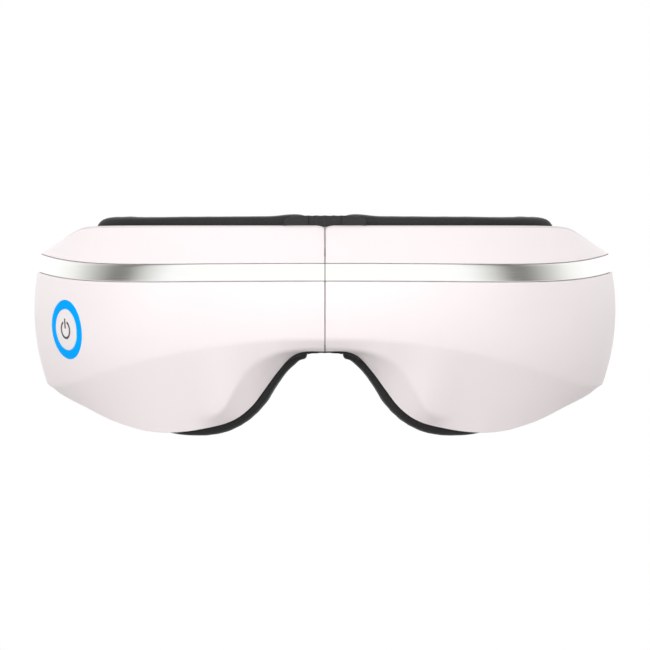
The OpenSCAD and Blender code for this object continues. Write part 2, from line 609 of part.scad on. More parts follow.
right_shell();
left_shell();
right_trim_band();
left_trim_band();
right_frame();
left_frame();
right_cushion();
left_cushion();
bridge_gusset();
right_hinge_block();
left_hinge_block();
right_hinge_leaf();
left_hinge_leaf();
hinge_pin();
hinge_washers();
right_hinge_screws();
left_hinge_screws();
right_bosses();
left_bosses();
right_frame_screws();
left_frame_screws();
light_ring();
button_cap();
power_symbol();
tact_switch();
button_board();
main_board();
main_chips();
usb_c_socket();
battery_pack();
pump_motor();
pump_head();
pump_rotor();
valve_body();
valve_plunger();
speaker();
flex_link();
right_motor_can();
right_motor_weight();
left_motor_can();
left_motor_weight();
right_airbag();
left_airbag();
right_air_tube();
left_air_tube();
right_massage_plate();
left_massage_plate();
right_heater();
left_heater();
right_membrane();
left_membrane();
right_strap_anchor();
left_strap_anchor();
strap_band();
right_adjuster();
left_adjuster();
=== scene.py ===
import bpy, bmesh, math
import numpy as np
from mathutils import Vector, Matrix


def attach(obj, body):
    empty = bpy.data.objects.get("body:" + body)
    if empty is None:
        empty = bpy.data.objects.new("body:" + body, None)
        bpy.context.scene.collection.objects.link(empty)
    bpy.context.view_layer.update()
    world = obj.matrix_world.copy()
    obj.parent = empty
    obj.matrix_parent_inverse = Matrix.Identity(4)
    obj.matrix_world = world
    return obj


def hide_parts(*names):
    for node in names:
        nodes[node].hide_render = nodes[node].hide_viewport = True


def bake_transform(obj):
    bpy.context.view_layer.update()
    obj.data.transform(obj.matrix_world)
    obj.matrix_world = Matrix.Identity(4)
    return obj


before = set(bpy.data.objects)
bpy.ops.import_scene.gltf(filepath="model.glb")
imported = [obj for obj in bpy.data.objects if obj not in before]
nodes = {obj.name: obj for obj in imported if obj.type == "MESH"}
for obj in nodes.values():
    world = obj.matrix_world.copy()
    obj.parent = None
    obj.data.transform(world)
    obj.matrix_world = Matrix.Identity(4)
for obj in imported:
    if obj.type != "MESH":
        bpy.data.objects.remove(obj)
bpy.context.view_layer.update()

SEAT = np.array([0.0, 31.0, 40.0])

# ------------------------------------------------------------------ curves (mm)
HALF_W, TIP, VIS_H, BELLY, WALL, BAND_H = 97.2, 66.0, 69.8, 0.0086, 2.0, 6.4
FP = np.array([[0, 0], [58, 0], [84, 24], [HALF_W, TIP]], float)
RP = np.array([[0, 18], [50, 18], [74, 35], [HALF_W - 6.2, TIP + 4.5]], float)


def cub(p, t):
    return (1 - t) ** 3 * p[0] + 3 * t * (1 - t) ** 2 * p[1] + 3 * t * t * (1 - t) * p[2] + t ** 3 * p[3]


def cubd(p, t):
    return 3 * ((1 - t) ** 2 * (p[1] - p[0]) + 2 * t * (1 - t) * (p[2] - p[1]) + t * t * (p[3] - p[2]))


def O(t): return cub(FP, t)
def R(t): return cub(RP, t)


def heading(p, t):
    d = cubd(p, t)
    return math.atan2(d[1], d[0])


def nR(t):
    a = heading(RP, t)
    return np.array([-math.sin(a), math.cos(a)])


TT = np.linspace(0, 1, 2001)
TR = np.array([R(t) for t in TT])
TN = np.array([nR(t) for t in TT])


def t_of(x): return float(np.interp(x, TR[:, 0], TT))


def through(P, x):
    i = 0
    while i < len(P) - 2 and x > P[i + 1][0]: i += 1
    h = P[i + 1][0] - P[i][0]
    u = max(0, min(1, (x - P[i][0]) / h))

    def sl(k):
        a, b = max(0, k - 1), min(len(P) - 1, k + 1)
        return (P[b][1] - P[a][1]) / (P[b][0] - P[a][0])
    u2, u3 = u * u, u ** 3
    return (2 * u3 - 3 * u2 + 1) * P[i][1] + (u3 - 2 * u2 + u) * h * sl(i) + (3 * u2 - 2 * u3) * P[i + 1][1] + (u3 - u2) * h * sl(i + 1)


def ease(a, b, x):
    u = max(0.0, min(1.0, (x - a) / (b - a)))
    return u * u * (3 - 2 * u)


RIM_LOW = [[0, 27.5], [7, 27.4], [12, 25.8], [16, 22], [20, 16.8], [24, 11.5], [29, 7], [34, 4], [42, 1.7], [51, 0.6],
           [58, 0.9], [64, 2.2], [72, 5], [81, 10], [91, 15.4]]
FOLD_LOW = [[0, 28.4], [11, 27.7], [20, 25.3], [25.5, 21.5], [29.5, 15.5], [33.5, 8.7], [40.5, 2.4], [50, 0.8]]


def z_top(t):
    x = R(t)[0] - 81.5
    c = 0.0
    xs = R(t)[0]
    if xs < 3.2:  # the corner at the seam is eased
        c = 1.1 * (1 - math.sqrt(max(0, 1 - ((3.2 - xs) / 3.2) ** 2)))
    return VIS_H - 0.385 * (math.sqrt(x * x + 9) + x) + 0.385 * (math.sqrt(81.5 ** 2 + 9) - 81.5) - c


def z_bt(t):
    u = O(t)[0] / 95
    return 57.2 - 1.2 * u * u + 3.2 * u ** 8


def z_cr(t):
    q = O(t)[0] ** 2
    return 31.7 - 0.00205 * q * q / (q + 300) + 3 * max(0, (t - 0.72) / 0.28) ** 3


def z_bot(t): return through(RIM_LOW, R(t)[0])
def F(z): return BELLY * (z - 41) ** 2


def corners(t, drop=0.0):
    o, r = O(t), R(t)
    D = float(np.linalg.norm(r - o))
    zt, za, zc = z_top(t), z_bt(t), z_cr(t)
    C = np.array([F(zc), zc]); B = np.array([D, z_bot(t) - drop])
    fi = 0.22 + 0.62 * ease(16, 52, o[0])
    xi = o[0] + fi * (r[0] - o[0])
    zl = C[1] + (B[1] - C[1]) * (fi * D - C[0]) / (D - C[0])
    w = ease(36, 52, o[0])
    I = np.array([fi * D, through(FOLD_LOW, min(xi, 50)) * (1 - w) + zl * w])
    return D, zt, za, zc, C, I, B


def bez2(a, b, c, n, first=False):
    u = np.linspace(0, 1, n + (0 if first else 1))[0 if first else 1:]
    return [(1 - k) ** 2 * a + 2 * k * (1 - k) * b + k * k * c for k in u]


# how far the moulded edge hangs below the inner wall's line, along the rear rim
DROP = [[0, 0], [4, 0], [8, 0.03], [10.5, 0.4], [12.5, 1.0], [15, 1.6], [19, 2.0], [24, 2.05], [28.5, 1.8], [33, 1.05], [38, 0.55], [46, 0.4],
        [60, 0.4], [72, 0.45], [78, 0.8], [84, 1.25], [88.5, 1.2], [91, 0.3]]


def outer_section(t):
    D, zt, za, zc, C, I, B = corners(t, float(through(DROP, R(t)[0])))
    zb = za - BAND_H
    T = np.array([D, zt]); A = np.array([F(za), za])
    L = float(np.linalg.norm(A - T)); e = (A - T) / L; m = np.array([e[1], -e[0]])

    def q(s, h): return T + e * s + m * h
    lip = 0.32
    s0 = m[0] * -lip / -e[0] if abs(e[0]) > 1e-6 else 0
    P = [np.array([D, q(s0, -lip)[1]]), q(1.35, -lip), q(1.5, -0.06), q(1.68, 0)]
    P += [q(s, 0) for s in np.linspace(2.3, L - 0.5, 7)]
    P += [q(L - 0.14, 0)]
    P += [np.array([F(za - 0.1) + 0.03, za - 0.1]), np.array([F(za - 0.1) + 0.95, za - 0.1]),
          np.array([F(za - 2.2) + 0.95, za - 2.2]), np.array([F(zb + 2.2) + 0.95, zb + 2.2]),
          np.array([F(zb + 0.1) + 0.95, zb + 0.1]), np.array([F(zb + 0.1) + 0.03, zb + 0.1])]
    P += [np.array([F(z), z]) for z in np.linspace(zb - 0.12, zc + 1.1, 20)]
    d1 = I - C; l1 = float(np.linalg.norm(d1)); d1 = d1 / l1
    d2 = B - I; l2 = float(np.linalg.norm(d2)); d2 = d2 / l2
    a1 = min(0.9, 0.3 * l1)
    a2 = min(1.7, 0.4 * l1, 0.4 * l2)
    Pb, Pc, Pd = C + d1 * a1, I - d1 * a2, I + d2 * a2
    P += bez2(P[-1], C, Pb, 7)
    P += [Pb + (Pc - Pb) * k for k in np.linspace(0, 1, 7)[1:-1]]
    P += [Pc] + bez2(Pc, I, Pd, 7)
    Pe = B - d2 * 0.55
    P += [Pd + (Pe - Pd) * k for k in np.linspace(0, 1, 7)[1:-1]]
    P += [Pe] + bez2(Pe, B, np.array([D, B[1] + 0.45]), 4)
    return np.array(P)


def inner_section(t, count):
    D, zt, za, zc, C, I, B = corners(t)
    kt = (zt - za) / (D - F(za)); zi = zt - WALL * math.sqrt(1 + kt * kt)
    z3 = zi - (D - F(za) - WALL) * kt
    for _ in range(3): z3 = zi - (D - F(z3) - WALL) * kt
    kc = (C[1] - I[1]) / (I[0] - C[0]); cc = math.sqrt(1 + kc * kc)
    kb = (I[1] - B[1]) / (B[0] - I[0]); cb = math.sqrt(1 + kb * kb)
    y2 = C[1] + WALL * cc - WALL * kc
    y2 = C[1] + WALL * cc - (F(y2) + WALL - C[0]) * kc
    n1, n2 = np.array([kc, 1]) / cc, np.array([kb, 1]) / cb
    nb = (n1 + n2) / np.linalg.norm(n1 + n2)
    J = I + nb * WALL / (nb @ n1)
    Cn = F(y2) + WALL
    J = np.array([min(D - 0.2, max(J[0], Cn + 0.3 * (D - Cn))), J[1]])
    a = [np.array([D + (F(z3) + WALL - D) * k, zi + (z3 - zi) * k]) for k in np.linspace(0, 1, 13)[:-1]]
    b = [np.array([F(z) + WALL, z]) for z in np.linspace(z3, y2, 27)[:-1]]
    c = [np.array([Cn, y2]) + (J - np.array([Cn, y2])) * k for k in np.linspace(0, 1, 14)[:-1]]
    rest = count - len(a) - len(b) - len(c)
    E = np.array([D, B[1] + WALL * cb])
    d = [J + (E - J) * k for k in np.linspace(0, 1, rest)]
    return np.array(a + b + c + d)


def lift(t, s):
    o, r = O(t), R(t)
    d = (r - o) / np.linalg.norm(r - o)
    return np.column_stack([o[0] + s[:, 0] * d[0], o[1] + s[:, 0] * d[1], s[:, 1]])


# ------------------------------------------------------------------ mesh helpers
def place(v):
    """construction millimetres to metres in the row frame"""
    return (np.asarray(v, float) - SEAT) / 1000.0


def mesh_obj(name, verts, faces, mat, side=1, sharp=32, metres=False):
    v = np.array(verts, float) if metres else place(verts)
    v = v.reshape(-1, 3).copy()
    if side < 0:
        v[:, 0] *= -1
        faces = [tuple(reversed(f)) for f in faces]
    me = bpy.data.meshes.new(name)
    me.from_pydata([tuple(p) for p in v], [], [tuple(int(k) for k in f) for f in faces])
    me.validate()
    bm = bmesh.new(); bm.from_mesh(me)
    bmesh.ops.recalc_face_normals(bm, faces=bm.faces)
    bm.to_mesh(me); bm.free()
    ob = bpy.data.objects.new(name, me)
    bpy.context.scene.collection.objects.link(ob)
    smooth(ob, sharp)
    if mat is not None: me.materials.append(mat)
    return ob


def smooth(ob, angle):
    me = ob.data
    me.polygons.foreach_set("use_smooth", [True] * len(me.polygons))
    me.set_sharp_from_angle(angle=math.radians(angle))
    me.update()


def grid_faces(n, m, base=0, wrap_m=False, wrap_n=False):
    out = []
    for i in range(n if wrap_n else n - 1):
        i2 = (i + 1) % n
        for j in range(m if wrap_m else m - 1):
            j2 = (j + 1) % m
            out.append((base + i * m + j, base + i2 * m + j, base + i2 * m + j2, base + i * m + j2))
    return out


def applied(ob, sharp=32):
    """the mesh with its modifiers made real"""
    dg = bpy.context.evaluated_depsgraph_get()
    me = bpy.data.meshes.new_from_object(ob.evaluated_get(dg))
    mats = list(ob.data.materials)
    ob.modifiers.clear()
    old = ob.data
    ob.data = me
    bpy.data.meshes.remove(old)
    if not me.materials:
        for k in mats: me.materials.append(k)
    smooth(ob, sharp)
    return ob


# ------------------------------------------------------------------ materials
def new_mat(name):
    m = bpy.data.materials.new(name)
    m.use_nodes = True
    nt = m.node_tree
    nt.nodes.clear()
    out = nt.nodes.new("ShaderNodeOutputMaterial")
    b = nt.nodes.new("ShaderNodeBsdfPrincipled")
    nt.links.new(b.outputs[0], out.inputs[0])
    return m, nt, b


def N(nt, kind, **kw):
    n = nt.nodes.new(kind)
    for k, v in kw.items():
        if k in ("operation", "data_type", "blend_type", "wave_type", "bands_direction", "noise_dimensions", "feature", "distance", "wave_profile", "clamp_factor"):
            setattr(n, k, v)
        else:
            n.inputs[k.replace("_", " ")].default_value = v
    return n


def coords(nt, scale=(1, 1, 1), rot=(0, 0, 0)):
    tc = nt.nodes.new("ShaderNodeTexCoord")
    mp = nt.nodes.new("ShaderNodeMapping")
    mp.inputs["Scale"].default_value = scale
    mp.inputs["Rotation"].default_value = rot
    nt.links.new(tc.outputs["Object"], mp.inputs["Vector"])
    return mp.outputs[0]


def ramp(nt, src, stops):
    r = nt.nodes.new("ShaderNodeValToRGB")
    el = r.color_ramp.elements
    while len(el) > 1: el.remove(el[0])
    el[0].position = stops[0][0]; el[0].color = tuple(stops[0][1]) + (1,) if len(stops[0][1]) == 3 else stops[0][1]
    for p, c in stops[1:]:
        k = el.new(p); k.color = tuple(c) + (1,) if len(c) == 3 else c
    nt.links.new(src, r.inputs[0])
    return r.outputs[0]


def mottled(name, col, rough, var=0.04, scale=60, grain=600, bump=0.05, bump_d=0.00005, rough_var=0.06, metal=0.0, coat=0.0, coat_r=0.1, spec=0.5, sheen=0.0, stretch=(1, 1, 1), ior=1.46):
    """base finish: slow colour drift, fine grain in bump and roughness"""
    m, nt, b = new_mat(name)
    v = coords(nt, stretch)
    slow = N(nt, "ShaderNodeTexNoise", Scale=scale, Detail=4.0, Roughness=0.55)
    fine = N(nt, "ShaderNodeTexNoise", Scale=grain, Detail=3.0, Roughness=0.6)
    nt.links.new(v, slow.inputs["Vector"]); nt.links.new(v, fine.inputs["Vector"])
    c = np.array(col, float)
    lo, hi = np.clip(c * (1 - var), 0, 1), np.clip(c * (1 + var), 0, 1)
    nt.links.new(ramp(nt, slow.outputs[0], [(0.3, tuple(lo)), (0.7, tuple(hi))]), b.inputs["Base Color"])
    mr = nt.nodes.new("ShaderNodeMapRange")
    mr.inputs["From Min"].default_value = 0.3; mr.inputs["From Max"].default_value = 0.7
    mr.inputs["To Min"].default_value = max(0.02, rough - rough_var); mr.inputs["To Max"].default_value = min(1, rough + rough_var)
    nt.links.new(fine.outputs[0], mr.inputs["Value"])
    nt.links.new(mr.outputs[0], b.inputs["Roughness"])
    bp = nt.nodes.new("ShaderNodeBump")
    bp.inputs["Strength"].default_value = bump
    bp.inputs["Distance"].default_value = bump_d
    nt.links.new(fine.outputs[0], bp.inputs["Height"])
    nt.links.new(bp.outputs[0], b.inputs["Normal"])
    b.inputs["Metallic"].default_value = metal
    b.inputs["Specular IOR Level"].default_value = spec
    b.inputs["IOR"].default_value = ior
    b.inputs["Coat Weight"].default_value = coat
    b.inputs["Coat Roughness"].default_value = coat_r
    b.inputs["Sheen Weight"].default_value = sheen
    return m


def leather(name, col, rough=0.52, cell=950, wrinkle=90):
    """fine protein leather: pebble cells, slow creases and a soft sheen"""
    m, nt, b = new_mat(name)
    v = coords(nt)
    warp = N(nt, "ShaderNodeTexNoise", Scale=220.0, Detail=2.0)
    nt.links.new(v, warp.inputs["Vector"])
    mix = nt.nodes.new("ShaderNodeMix"); mix.data_type = "VECTOR"; mix.inputs["Factor"].default_value = 0.0006
    nt.links.new(v, mix.inputs[4]); nt.links.new(warp.outputs["Color"], mix.inputs[5])
    vor = N(nt, "ShaderNodeTexVoronoi", Scale=cell)
    vor.feature = "DISTANCE_TO_EDGE"
    nt.links.new(mix.outputs[1], vor.inputs["Vector"])
    pores = ramp(nt, vor.outputs["Distance"], [(0.0, (0, 0, 0)), (0.09, (0.7, 0.7, 0.7)), (0.3, (1, 1, 1))])
    slow = N(nt, "ShaderNodeTexNoise", Scale=float(wrinkle), Detail=5.0, Roughness=0.6)
    nt.links.new(v, slow.inputs["Vector"])
    c = np.array(col, float)
    mx = nt.nodes.new("ShaderNodeMix"); mx.data_type = "RGBA"
    mx.inputs[6].default_value = tuple(c * 0.72) + (1,)
    mx.inputs[7].default_value = tuple(np.clip(c * 1.12, 0, 1)) + (1,)
    nt.links.new(pores, mx.inputs[0])
    nt.links.new(mx.outputs[2], b.inputs["Base Color"])
    mr = nt.nodes.new("ShaderNodeMapRange")
    mr.inputs["To Min"].default_value = rough - 0.1; mr.inputs["To Max"].default_value = rough + 0.12
    nt.links.new(slow.outputs[0], mr.inputs["Value"]); nt.links.new(mr.outputs[0], b.inputs["Roughness"])
    b1 = nt.nodes.new("ShaderNodeBump"); b1.inputs["Strength"].default_value = 0.35; b1.inputs["Distance"].default_value = 0.00012
    nt.links.new(slow.outputs[0], b1.inputs["Height"])
    b2 = nt.nodes.new("ShaderNodeBump"); b2.inputs["Strength"].default_value = 0.4; b2.inputs["Distance"].default_value = 0.00006
    nt.links.new(pores, b2.inputs["Height"]); nt.links.new(b1.outputs[0], b2.inputs["Normal"])
    nt.links.new(b2.outputs[0], b.inputs["Normal"])
    b.inputs["Specular IOR Level"].default_value = 0.32
    b.inputs["Sheen Weight"].default_value = 0.06
    b.inputs["Sheen Roughness"].default_value = 0.4
    return m


def weave(name, col, pitch=0.0006, rough=0.85, axes=(0, 2), depth=0.00012, dark=0.45, sheen=0.35):
    """plain weave from two crossed wave textures in the object's own coordinates"""
    m, nt, b = new_mat(name)
    tc = nt.nodes.new("ShaderNodeTexCoord")
    sep = nt.nodes.new("ShaderNodeSeparateXYZ"); nt.links.new(tc.outputs["Object"], sep.inputs[0])

    def mth(op, a, c=None):
        n = nt.nodes.new("ShaderNodeMath"); n.operation = op
        for k, x in ((0, a), (1, c)):
            if x is None: continue
            if isinstance(x, (int, float)): n.inputs[k].default_value = x
            else: nt.links.new(x, n.inputs[k])
        return n.outputs[0]
    w = 2 * math.pi / pitch
    sa = mth("SINE", mth("MULTIPLY", sep.outputs[axes[0]], w)); sb = mth("SINE", mth("MULTIPLY", sep.outputs[axes[1]], w))
    over = mth("ADD", mth("MULTIPLY", mth("MULTIPLY", sa, sb), 0.5), 0.5)
    edge = mth("MULTIPLY", mth("ADD", mth("ABSOLUTE", sa), mth("ABSOLUTE", sb)), 0.5)
    h = mth("MULTIPLY", mth("ADD", over, edge), 0.5)
    fz = N(nt, "ShaderNodeTexNoise", Scale=2600.0, Detail=2.0); nt.links.new(tc.outputs["Object"], fz.inputs["Vector"])
    sl = N(nt, "ShaderNodeTexNoise", Scale=40.0, Detail=3.0); nt.links.new(tc.outputs["Object"], sl.inputs["Vector"])
    h2 = mth("ADD", mth("MULTIPLY", h, 0.8), mth("MULTIPLY", fz.outputs[0], 0.3))
    c = np.array(col, float)
    mx = nt.nodes.new("ShaderNodeMix"); mx.data_type = "RGBA"
    mx.inputs[6].default_value = tuple(c * dark) + (1,)
    mx.inputs[7].default_value = tuple(np.clip(c * 1.35, 0, 1)) + (1,)
    nt.links.new(mth("MULTIPLY", h2, mth("ADD", mth("MULTIPLY", sl.outputs[0], 0.4), 0.8)), mx.inputs[0])
    nt.links.new(mx.outputs[2], b.inputs["Base Color"])
    bp = nt.nodes.new("ShaderNodeBump"); bp.inputs["Strength"].default_value = 0.7; bp.inputs["Distance"].default_value = depth
    nt.links.new(h2, bp.inputs["Height"]); nt.links.new(bp.outputs[0], b.inputs["Normal"])
    b.inputs["Roughness"].default_value = rough
    b.inputs["Sheen Weight"].default_value = sheen
    b.inputs["Sheen Roughness"].default_value = 0.5
    b.inputs["Specular IOR Level"].default_value = 0.25
    return m


M_shell = mottled("shell_white", (0.90, 0.826, 0.833), 0.36, var=0.008, scale=35, grain=1400, bump=0.06, bump_d=0.00002, rough_var=0.035, coat=0.12, coat_r=0.22)
# painted shade: the recessed top lip strip gets a darker white than the shell, standing in for the shade in the step
M_lip_painted_shade = mottled("shell_lip_painted_shade", (0.74, 0.68, 0.685), 0.42, var=0.01, scale=35, grain=1400, bump=0.06, bump_d=0.00002)
M_cap = mottled("cap_white", (0.88, 0.82, 0.825), 0.34, var=0.006, scale=60, grain=1800, bump=0.05, bump_d=0.00002, rough_var=0.03)
M_trim = mottled("trim_silver", (0.82, 0.82, 0.805), 0.2, var=0.012, scale=25, grain=500, bump=0.03, bump_d=0.00002, rough_var=0.05, metal=1.0, stretch=(0.15, 0.15, 4))
M_frame = mottled("frame_black", (0.022, 0.022, 0.024), 0.55, var=0.12, scale=90, grain=2200, bump=0.25, bump_d=0.00005)
M_pad = leather("cushion_leather", (0.017, 0.017, 0.0175))
M_thread = mottled("thread_black", (0.035, 0.035, 0.037), 0.6, var=0.2, scale=900, grain=6000, bump=0.5, bump_d=0.00005, sheen=0.3)
M_gusset = mottled("gusset_silicone", (0.016, 0.016, 0.017), 0.55, var=0.1, scale=70, grain=1600, bump=0.15, bump_d=0.00004)
M_boss = mottled("boss_white", (0.78, 0.76, 0.76), 0.45, var=0.02, scale=50, grain=1200, bump=0.1, bump_d=0.00003)
M_steel = mottled("hinge_steel", (0.56, 0.565, 0.58), 0.3, var=0.05, scale=50, grain=900, bump=0.12, bump_d=0.00003, metal=1.0, rough_var=0.1, stretch=(1, 1, 12))
M_screw = mottled("screw_steel", (0.5, 0.5, 0.52), 0.28, var=0.06, scale=300, grain=2500, bump=0.15, bump_d=0.00003, metal=1.0)
M_brass = mottled("washer_brass", (0.72, 0.56, 0.28), 0.3, var=0.07, scale=200, grain=2500, bump=0.12, bump_d=0.00003, metal=1.0)
M_pcb = mottled("board_green", (0.02, 0.13, 0.055), 0.35, var=0.2, scale=500, grain=2500, bump=0.2, bump_d=0.00005)
M_chip = mottled("chip_black", (0.02, 0.02, 0.022), 0.5, var=0.15, scale=400, grain=4000, bump=0.3, bump_d=0.00004)
M_port = mottled("port_steel", (0.6, 0.61, 0.63), 0.22, var=0.05, scale=250, grain=2500, bump=0.08, bump_d=0.00002, metal=1.0)
M_cell = mottled("cell_sleeve", (0.05, 0.16, 0.42), 0.3, var=0.08, scale=70, grain=900, bump=0.2, bump_d=0.00006)
M_motor = mottled("motor_can", (0.55, 0.55, 0.57), 0.26, var=0.05, scale=120, grain=1800, bump=0.1, bump_d=0.00003, metal=1.0)
M_weight = mottled("weight_steel", (0.34, 0.34, 0.36), 0.45, var=0.1, scale=400, grain=3500, bump=0.3, bump_d=0.00005, metal=1.0)
M_pump = mottled("pump_black", (0.03, 0.03, 0.034), 0.5, var=0.15, scale=150, grain=2500, bump=0.25, bump_d=0.00005)
M_valve = mottled("valve_blue", (0.03, 0.1, 0.3), 0.42, var=0.1, scale=150, grain=2500, bump=0.2, bump_d=0.00004)
M_tube = mottled("tube_silicone", (0.62, 0.61, 0.58), 0.35, var=0.05, scale=120, grain=1500, bump=0.1, bump_d=0.00003)
M_link = mottled("link_sleeve", (0.028, 0.028, 0.03), 0.5, var=0.12, scale=150, grain=2500, bump=0.2, bump_d=0.00005)
M_bag = mottled("airbag_film", (0.36, 0.39, 0.41), 0.3, var=0.06, scale=120, grain=900, bump=0.35, bump_d=0.0002)
M_plate = mottled("plate_grey", (0.075, 0.075, 0.08), 0.45, var=0.1, scale=150, grain=2500, bump=0.2, bump_d=0.00004)
M_heat = mottled("heater_film", (0.45, 0.2, 0.06), 0.3, var=0.18, scale=250, grain=900, bump=0.2, bump_d=0.00004, metal=0.5)
M_mesh = weave("membrane_knit", (0.035, 0.035, 0.037), pitch=0.0009, axes=(0, 2), depth=0.00018)
M_strap = weave("strap_elastic", (0.042, 0.042, 0.045), pitch=0.0011, axes=(0, 2), depth=0.00025)
M_symbol = mottled("symbol_grey", (0.045, 0.044, 0.044), 0.5, var=0.05, scale=300, grain=3000, bump=0.1, bump_d=0.00002)


def ring_material():
    """translucent blue light ring, lit from inside: bright body, slight drift"""
    m, nt, b = new_mat("ring_blue")
    v = coords(nt)
    n = N(nt, "ShaderNodeTexNoise", Scale=90.0, Detail=3.0)
    nt.links.new(v, n.inputs["Vector"])
    c = ramp(nt, n.outputs[0], [(0.3, (0.0, 0.315, 0.82)), (0.7, (0.0, 0.345, 0.87))])
    nt.links.new(c, b.inputs["Base Color"])
    nt.links.new(c, b.inputs["Emission Color"])
    b.inputs["Emission Strength"].default_value = 0.22
    b.inputs["Roughness"].default_value = 0.5
    b.inputs["Specular IOR Level"].default_value = 0.03
    b.inputs["IOR"].default_value = 1.3
    f = N(nt, "ShaderNodeTexNoise", Scale=1800.0, Detail=2.0)
    nt.links.new(v, f.inputs["Vector"])
    bp = nt.nodes.new("ShaderNodeBump"); bp.inputs["Strength"].default_value = 0.05; bp.inputs["Distance"].default_value = 0.00002
    nt.links.new(f.outputs[0], bp.inputs["Height"]); nt.links.new(bp.outputs[0], b.inputs["Normal"])
    return m


M_ring = ring_material()

CAD_LOOKS = {
    "right_frame": M_frame, "left_frame": M_frame, "right_hinge_block": M_boss, "left_hinge_block": M_boss,
    "right_hinge_leaf": M_steel, "left_hinge_leaf": M_steel, "hinge_pin": M_steel, "hinge_washers": M_brass,
    "right_hinge_screws": M_screw, "left_hinge_screws": M_screw, "right_bosses": M_boss, "left_bosses": M_boss,
    "right_frame_screws": M_screw, "left_frame_screws": M_screw, "tact_switch": M_chip, "button_board": M_pcb,
    "main_board": M_pcb, "main_chips": M_chip, "usb_c_socket": M_port, "battery_pack": M_cell, "pump_motor": M_motor,
    "pump_head": M_pump, "pump_rotor": M_brass, "valve_body": M_valve, "valve_plunger": M_steel, "speaker": M_chip,
    "right_motor_can": M_motor, "left_motor_can": M_motor, "right_motor_weight": M_weight,
    "left_motor_weight": M_weight, "right_airbag": M_bag, "left_airbag": M_bag, "right_air_tube": M_tube,
    "left_air_tube": M_tube, "right_massage_plate": M_plate, "left_massage_plate": M_plate, "right_heater": M_heat,
    "left_heater": M_heat, "right_strap_anchor": M_frame, "left_strap_anchor": M_frame,
    "right_adjuster": M_frame, "left_adjuster": M_frame}
for name, ob in nodes.items():
    mat = CAD_LOOKS.get(name, M_frame)
    ob.data.materials.clear()
    ob.data.materials.append(mat)

SIDES = (("right", -1), ("left", 1))
HALF = {"right": "right_half", "left": "left_half"}

# ------------------------------------------------------------------ shells
T_BTN, Z_BTN = 0.785, 34.5


def btn_frame():
    o, r = O(T_BTN), R(T_BTN)
    d = (r - o) / np.linalg.norm(r - o)
    p = np.array([o[0] + F(Z_BTN) * d[0], o[1] + F(Z_BTN) * d[1], Z_BTN])
    a = heading(FP, T_BTN); b = math.atan(2 * BELLY * (41 - Z_BTN))
    n = np.array([math.sin(a) * math.cos(b), -math.cos(a) * math.cos(b), -math.sin(b)])
    u = np.array([math.cos(a), math.sin(a), 0.0])
    w = np.cross(u, n)
    if w[2] < 0: w = -w
    return p, u, w, n


BP, BU, BW, BN = btn_frame()


def face_point(t, z):
    o, r = O(t), R(t)
    d = (r - o) / np.linalg.norm(r - o)
    return np.array([o[0] + F(z) * d[0], o[1] + F(z) * d[1], z])


def on_btn(u, w, h=0.0):
    """point of the front face at (u, w) in the button's plane, h proud along its axis"""
    t, z = T_BTN + u / 117.0, Z_BTN + w
    for _ in range(5):
        p = face_point(t, z) - BP
        t += (u - p @ BU) / 117.0
        z += (w - p @ BW)
    return face_point(t, z) + BN * h


NS = 150
GAP = 0.13


def stations():
    a = list(np.linspace(0.0, 0.3, 62)[:-1]) + list(np.linspace(0.3, 1, NS - 61))
    extra = [0.0, 0.0008, 0.0018, 0.0032]
    tipx = [1 - 0.0008, 1 - 0.002, 1 - 0.0036, 1 - 0.008]
    s = sorted(set([round(x, 6) for x in a[1:-1]] + extra + tipx + [1.0]))
    return s


def shell(side_name, side):
    ts = stations()
    outs, ins = [], []
    for k, t in enumerate(ts):
        s = outer_section(t)
        P = lift(t, s)
        cnt = len(s)
        # round the seam edge and the temple edge into the face
        r0 = 0.28
        dx = O(t)[0]
        sh = 0.0
        if dx < r0: sh = r0 - math.sqrt(max(0, r0 * r0 - (r0 - dx) ** 2))
        arc = (1 - t) * np.linalg.norm(cubd(FP, t))
        if arc < 0.45: sh = max(sh, 0.45 - math.sqrt(max(0, 0.2025 - (0.45 - arc) ** 2)))
        if sh > 0:
            c2 = np.array([s[:, 0].max(), 41.0])
            nrm = np.gradient(s, axis=0)
            nn = np.column_stack([nrm[:, 1], -nrm[:, 0]])
            nn /= np.linalg.norm(nn, axis=1)[:, None] + 1e-12
            sgn = np.sign(((c2 - s) * nn).sum(1)); nn *= sgn[:, None]
            fade = np.clip((s[:, 0].max() - s[:, 0]) / 1.5, 0, 1)[:, None]
            P = lift(t, s + nn * sh * fade)
        if k == 0: P[:, 0] = 0.0
        P[:, 0] += GAP * max(0.0, 1 - O(t)[0] / 6)
        outs.append(P)
        ti = 0.0135 + (0.982 - 0.0135) * t
        Q = lift(ti, inner_section(ti, cnt))
        if k == 0: Q[:, 0] = 2.25
        ins.append(Q)
    n, m = len(ts), len(outs[0])
    V = np.concatenate([np.concatenate(outs), np.concatenate(ins)])
    b = n * m
    f = grid_faces(n, m) + [tuple(reversed(q)) for q in grid_faces(n, m, b)]
    f += [((i + 1) * m, i * m, b + i * m, b + (i + 1) * m) for i in range(n - 1)]
    f += [(b + (i + 1) * m + m - 1, b + i * m + m - 1, i * m + m - 1, (i + 1) * m + m - 1) for i in range(n - 1)]
    L, LI = (n - 1) * m, b + (n - 1) * m
    f.append(tuple(range(m)))
    f.append(tuple(L + j for j in range(m - 1, -1, -1)))
    f.append(tuple(b + j for j in range(m - 1, -1, -1)))
    f.append(tuple(LI + j for j in range(m)))
    f.append((b, 0, m - 1, b + m - 1))
    f.append((LI, LI + m - 1, L + m - 1, L))
    ob = mesh_obj(side_name + "_shell_skin", V, f, M_shell, side, 28)
    ob.data.materials.append(M_lip_painted_shade)
    # the first face of each section, the recessed top lip, takes the darker material: painted shade along the step
    for i in range(n - 1):
        ob.data.polygons[i * (m - 1)].material_index = 1
    if side < 0:
        cut(ob, 28)
    return ob


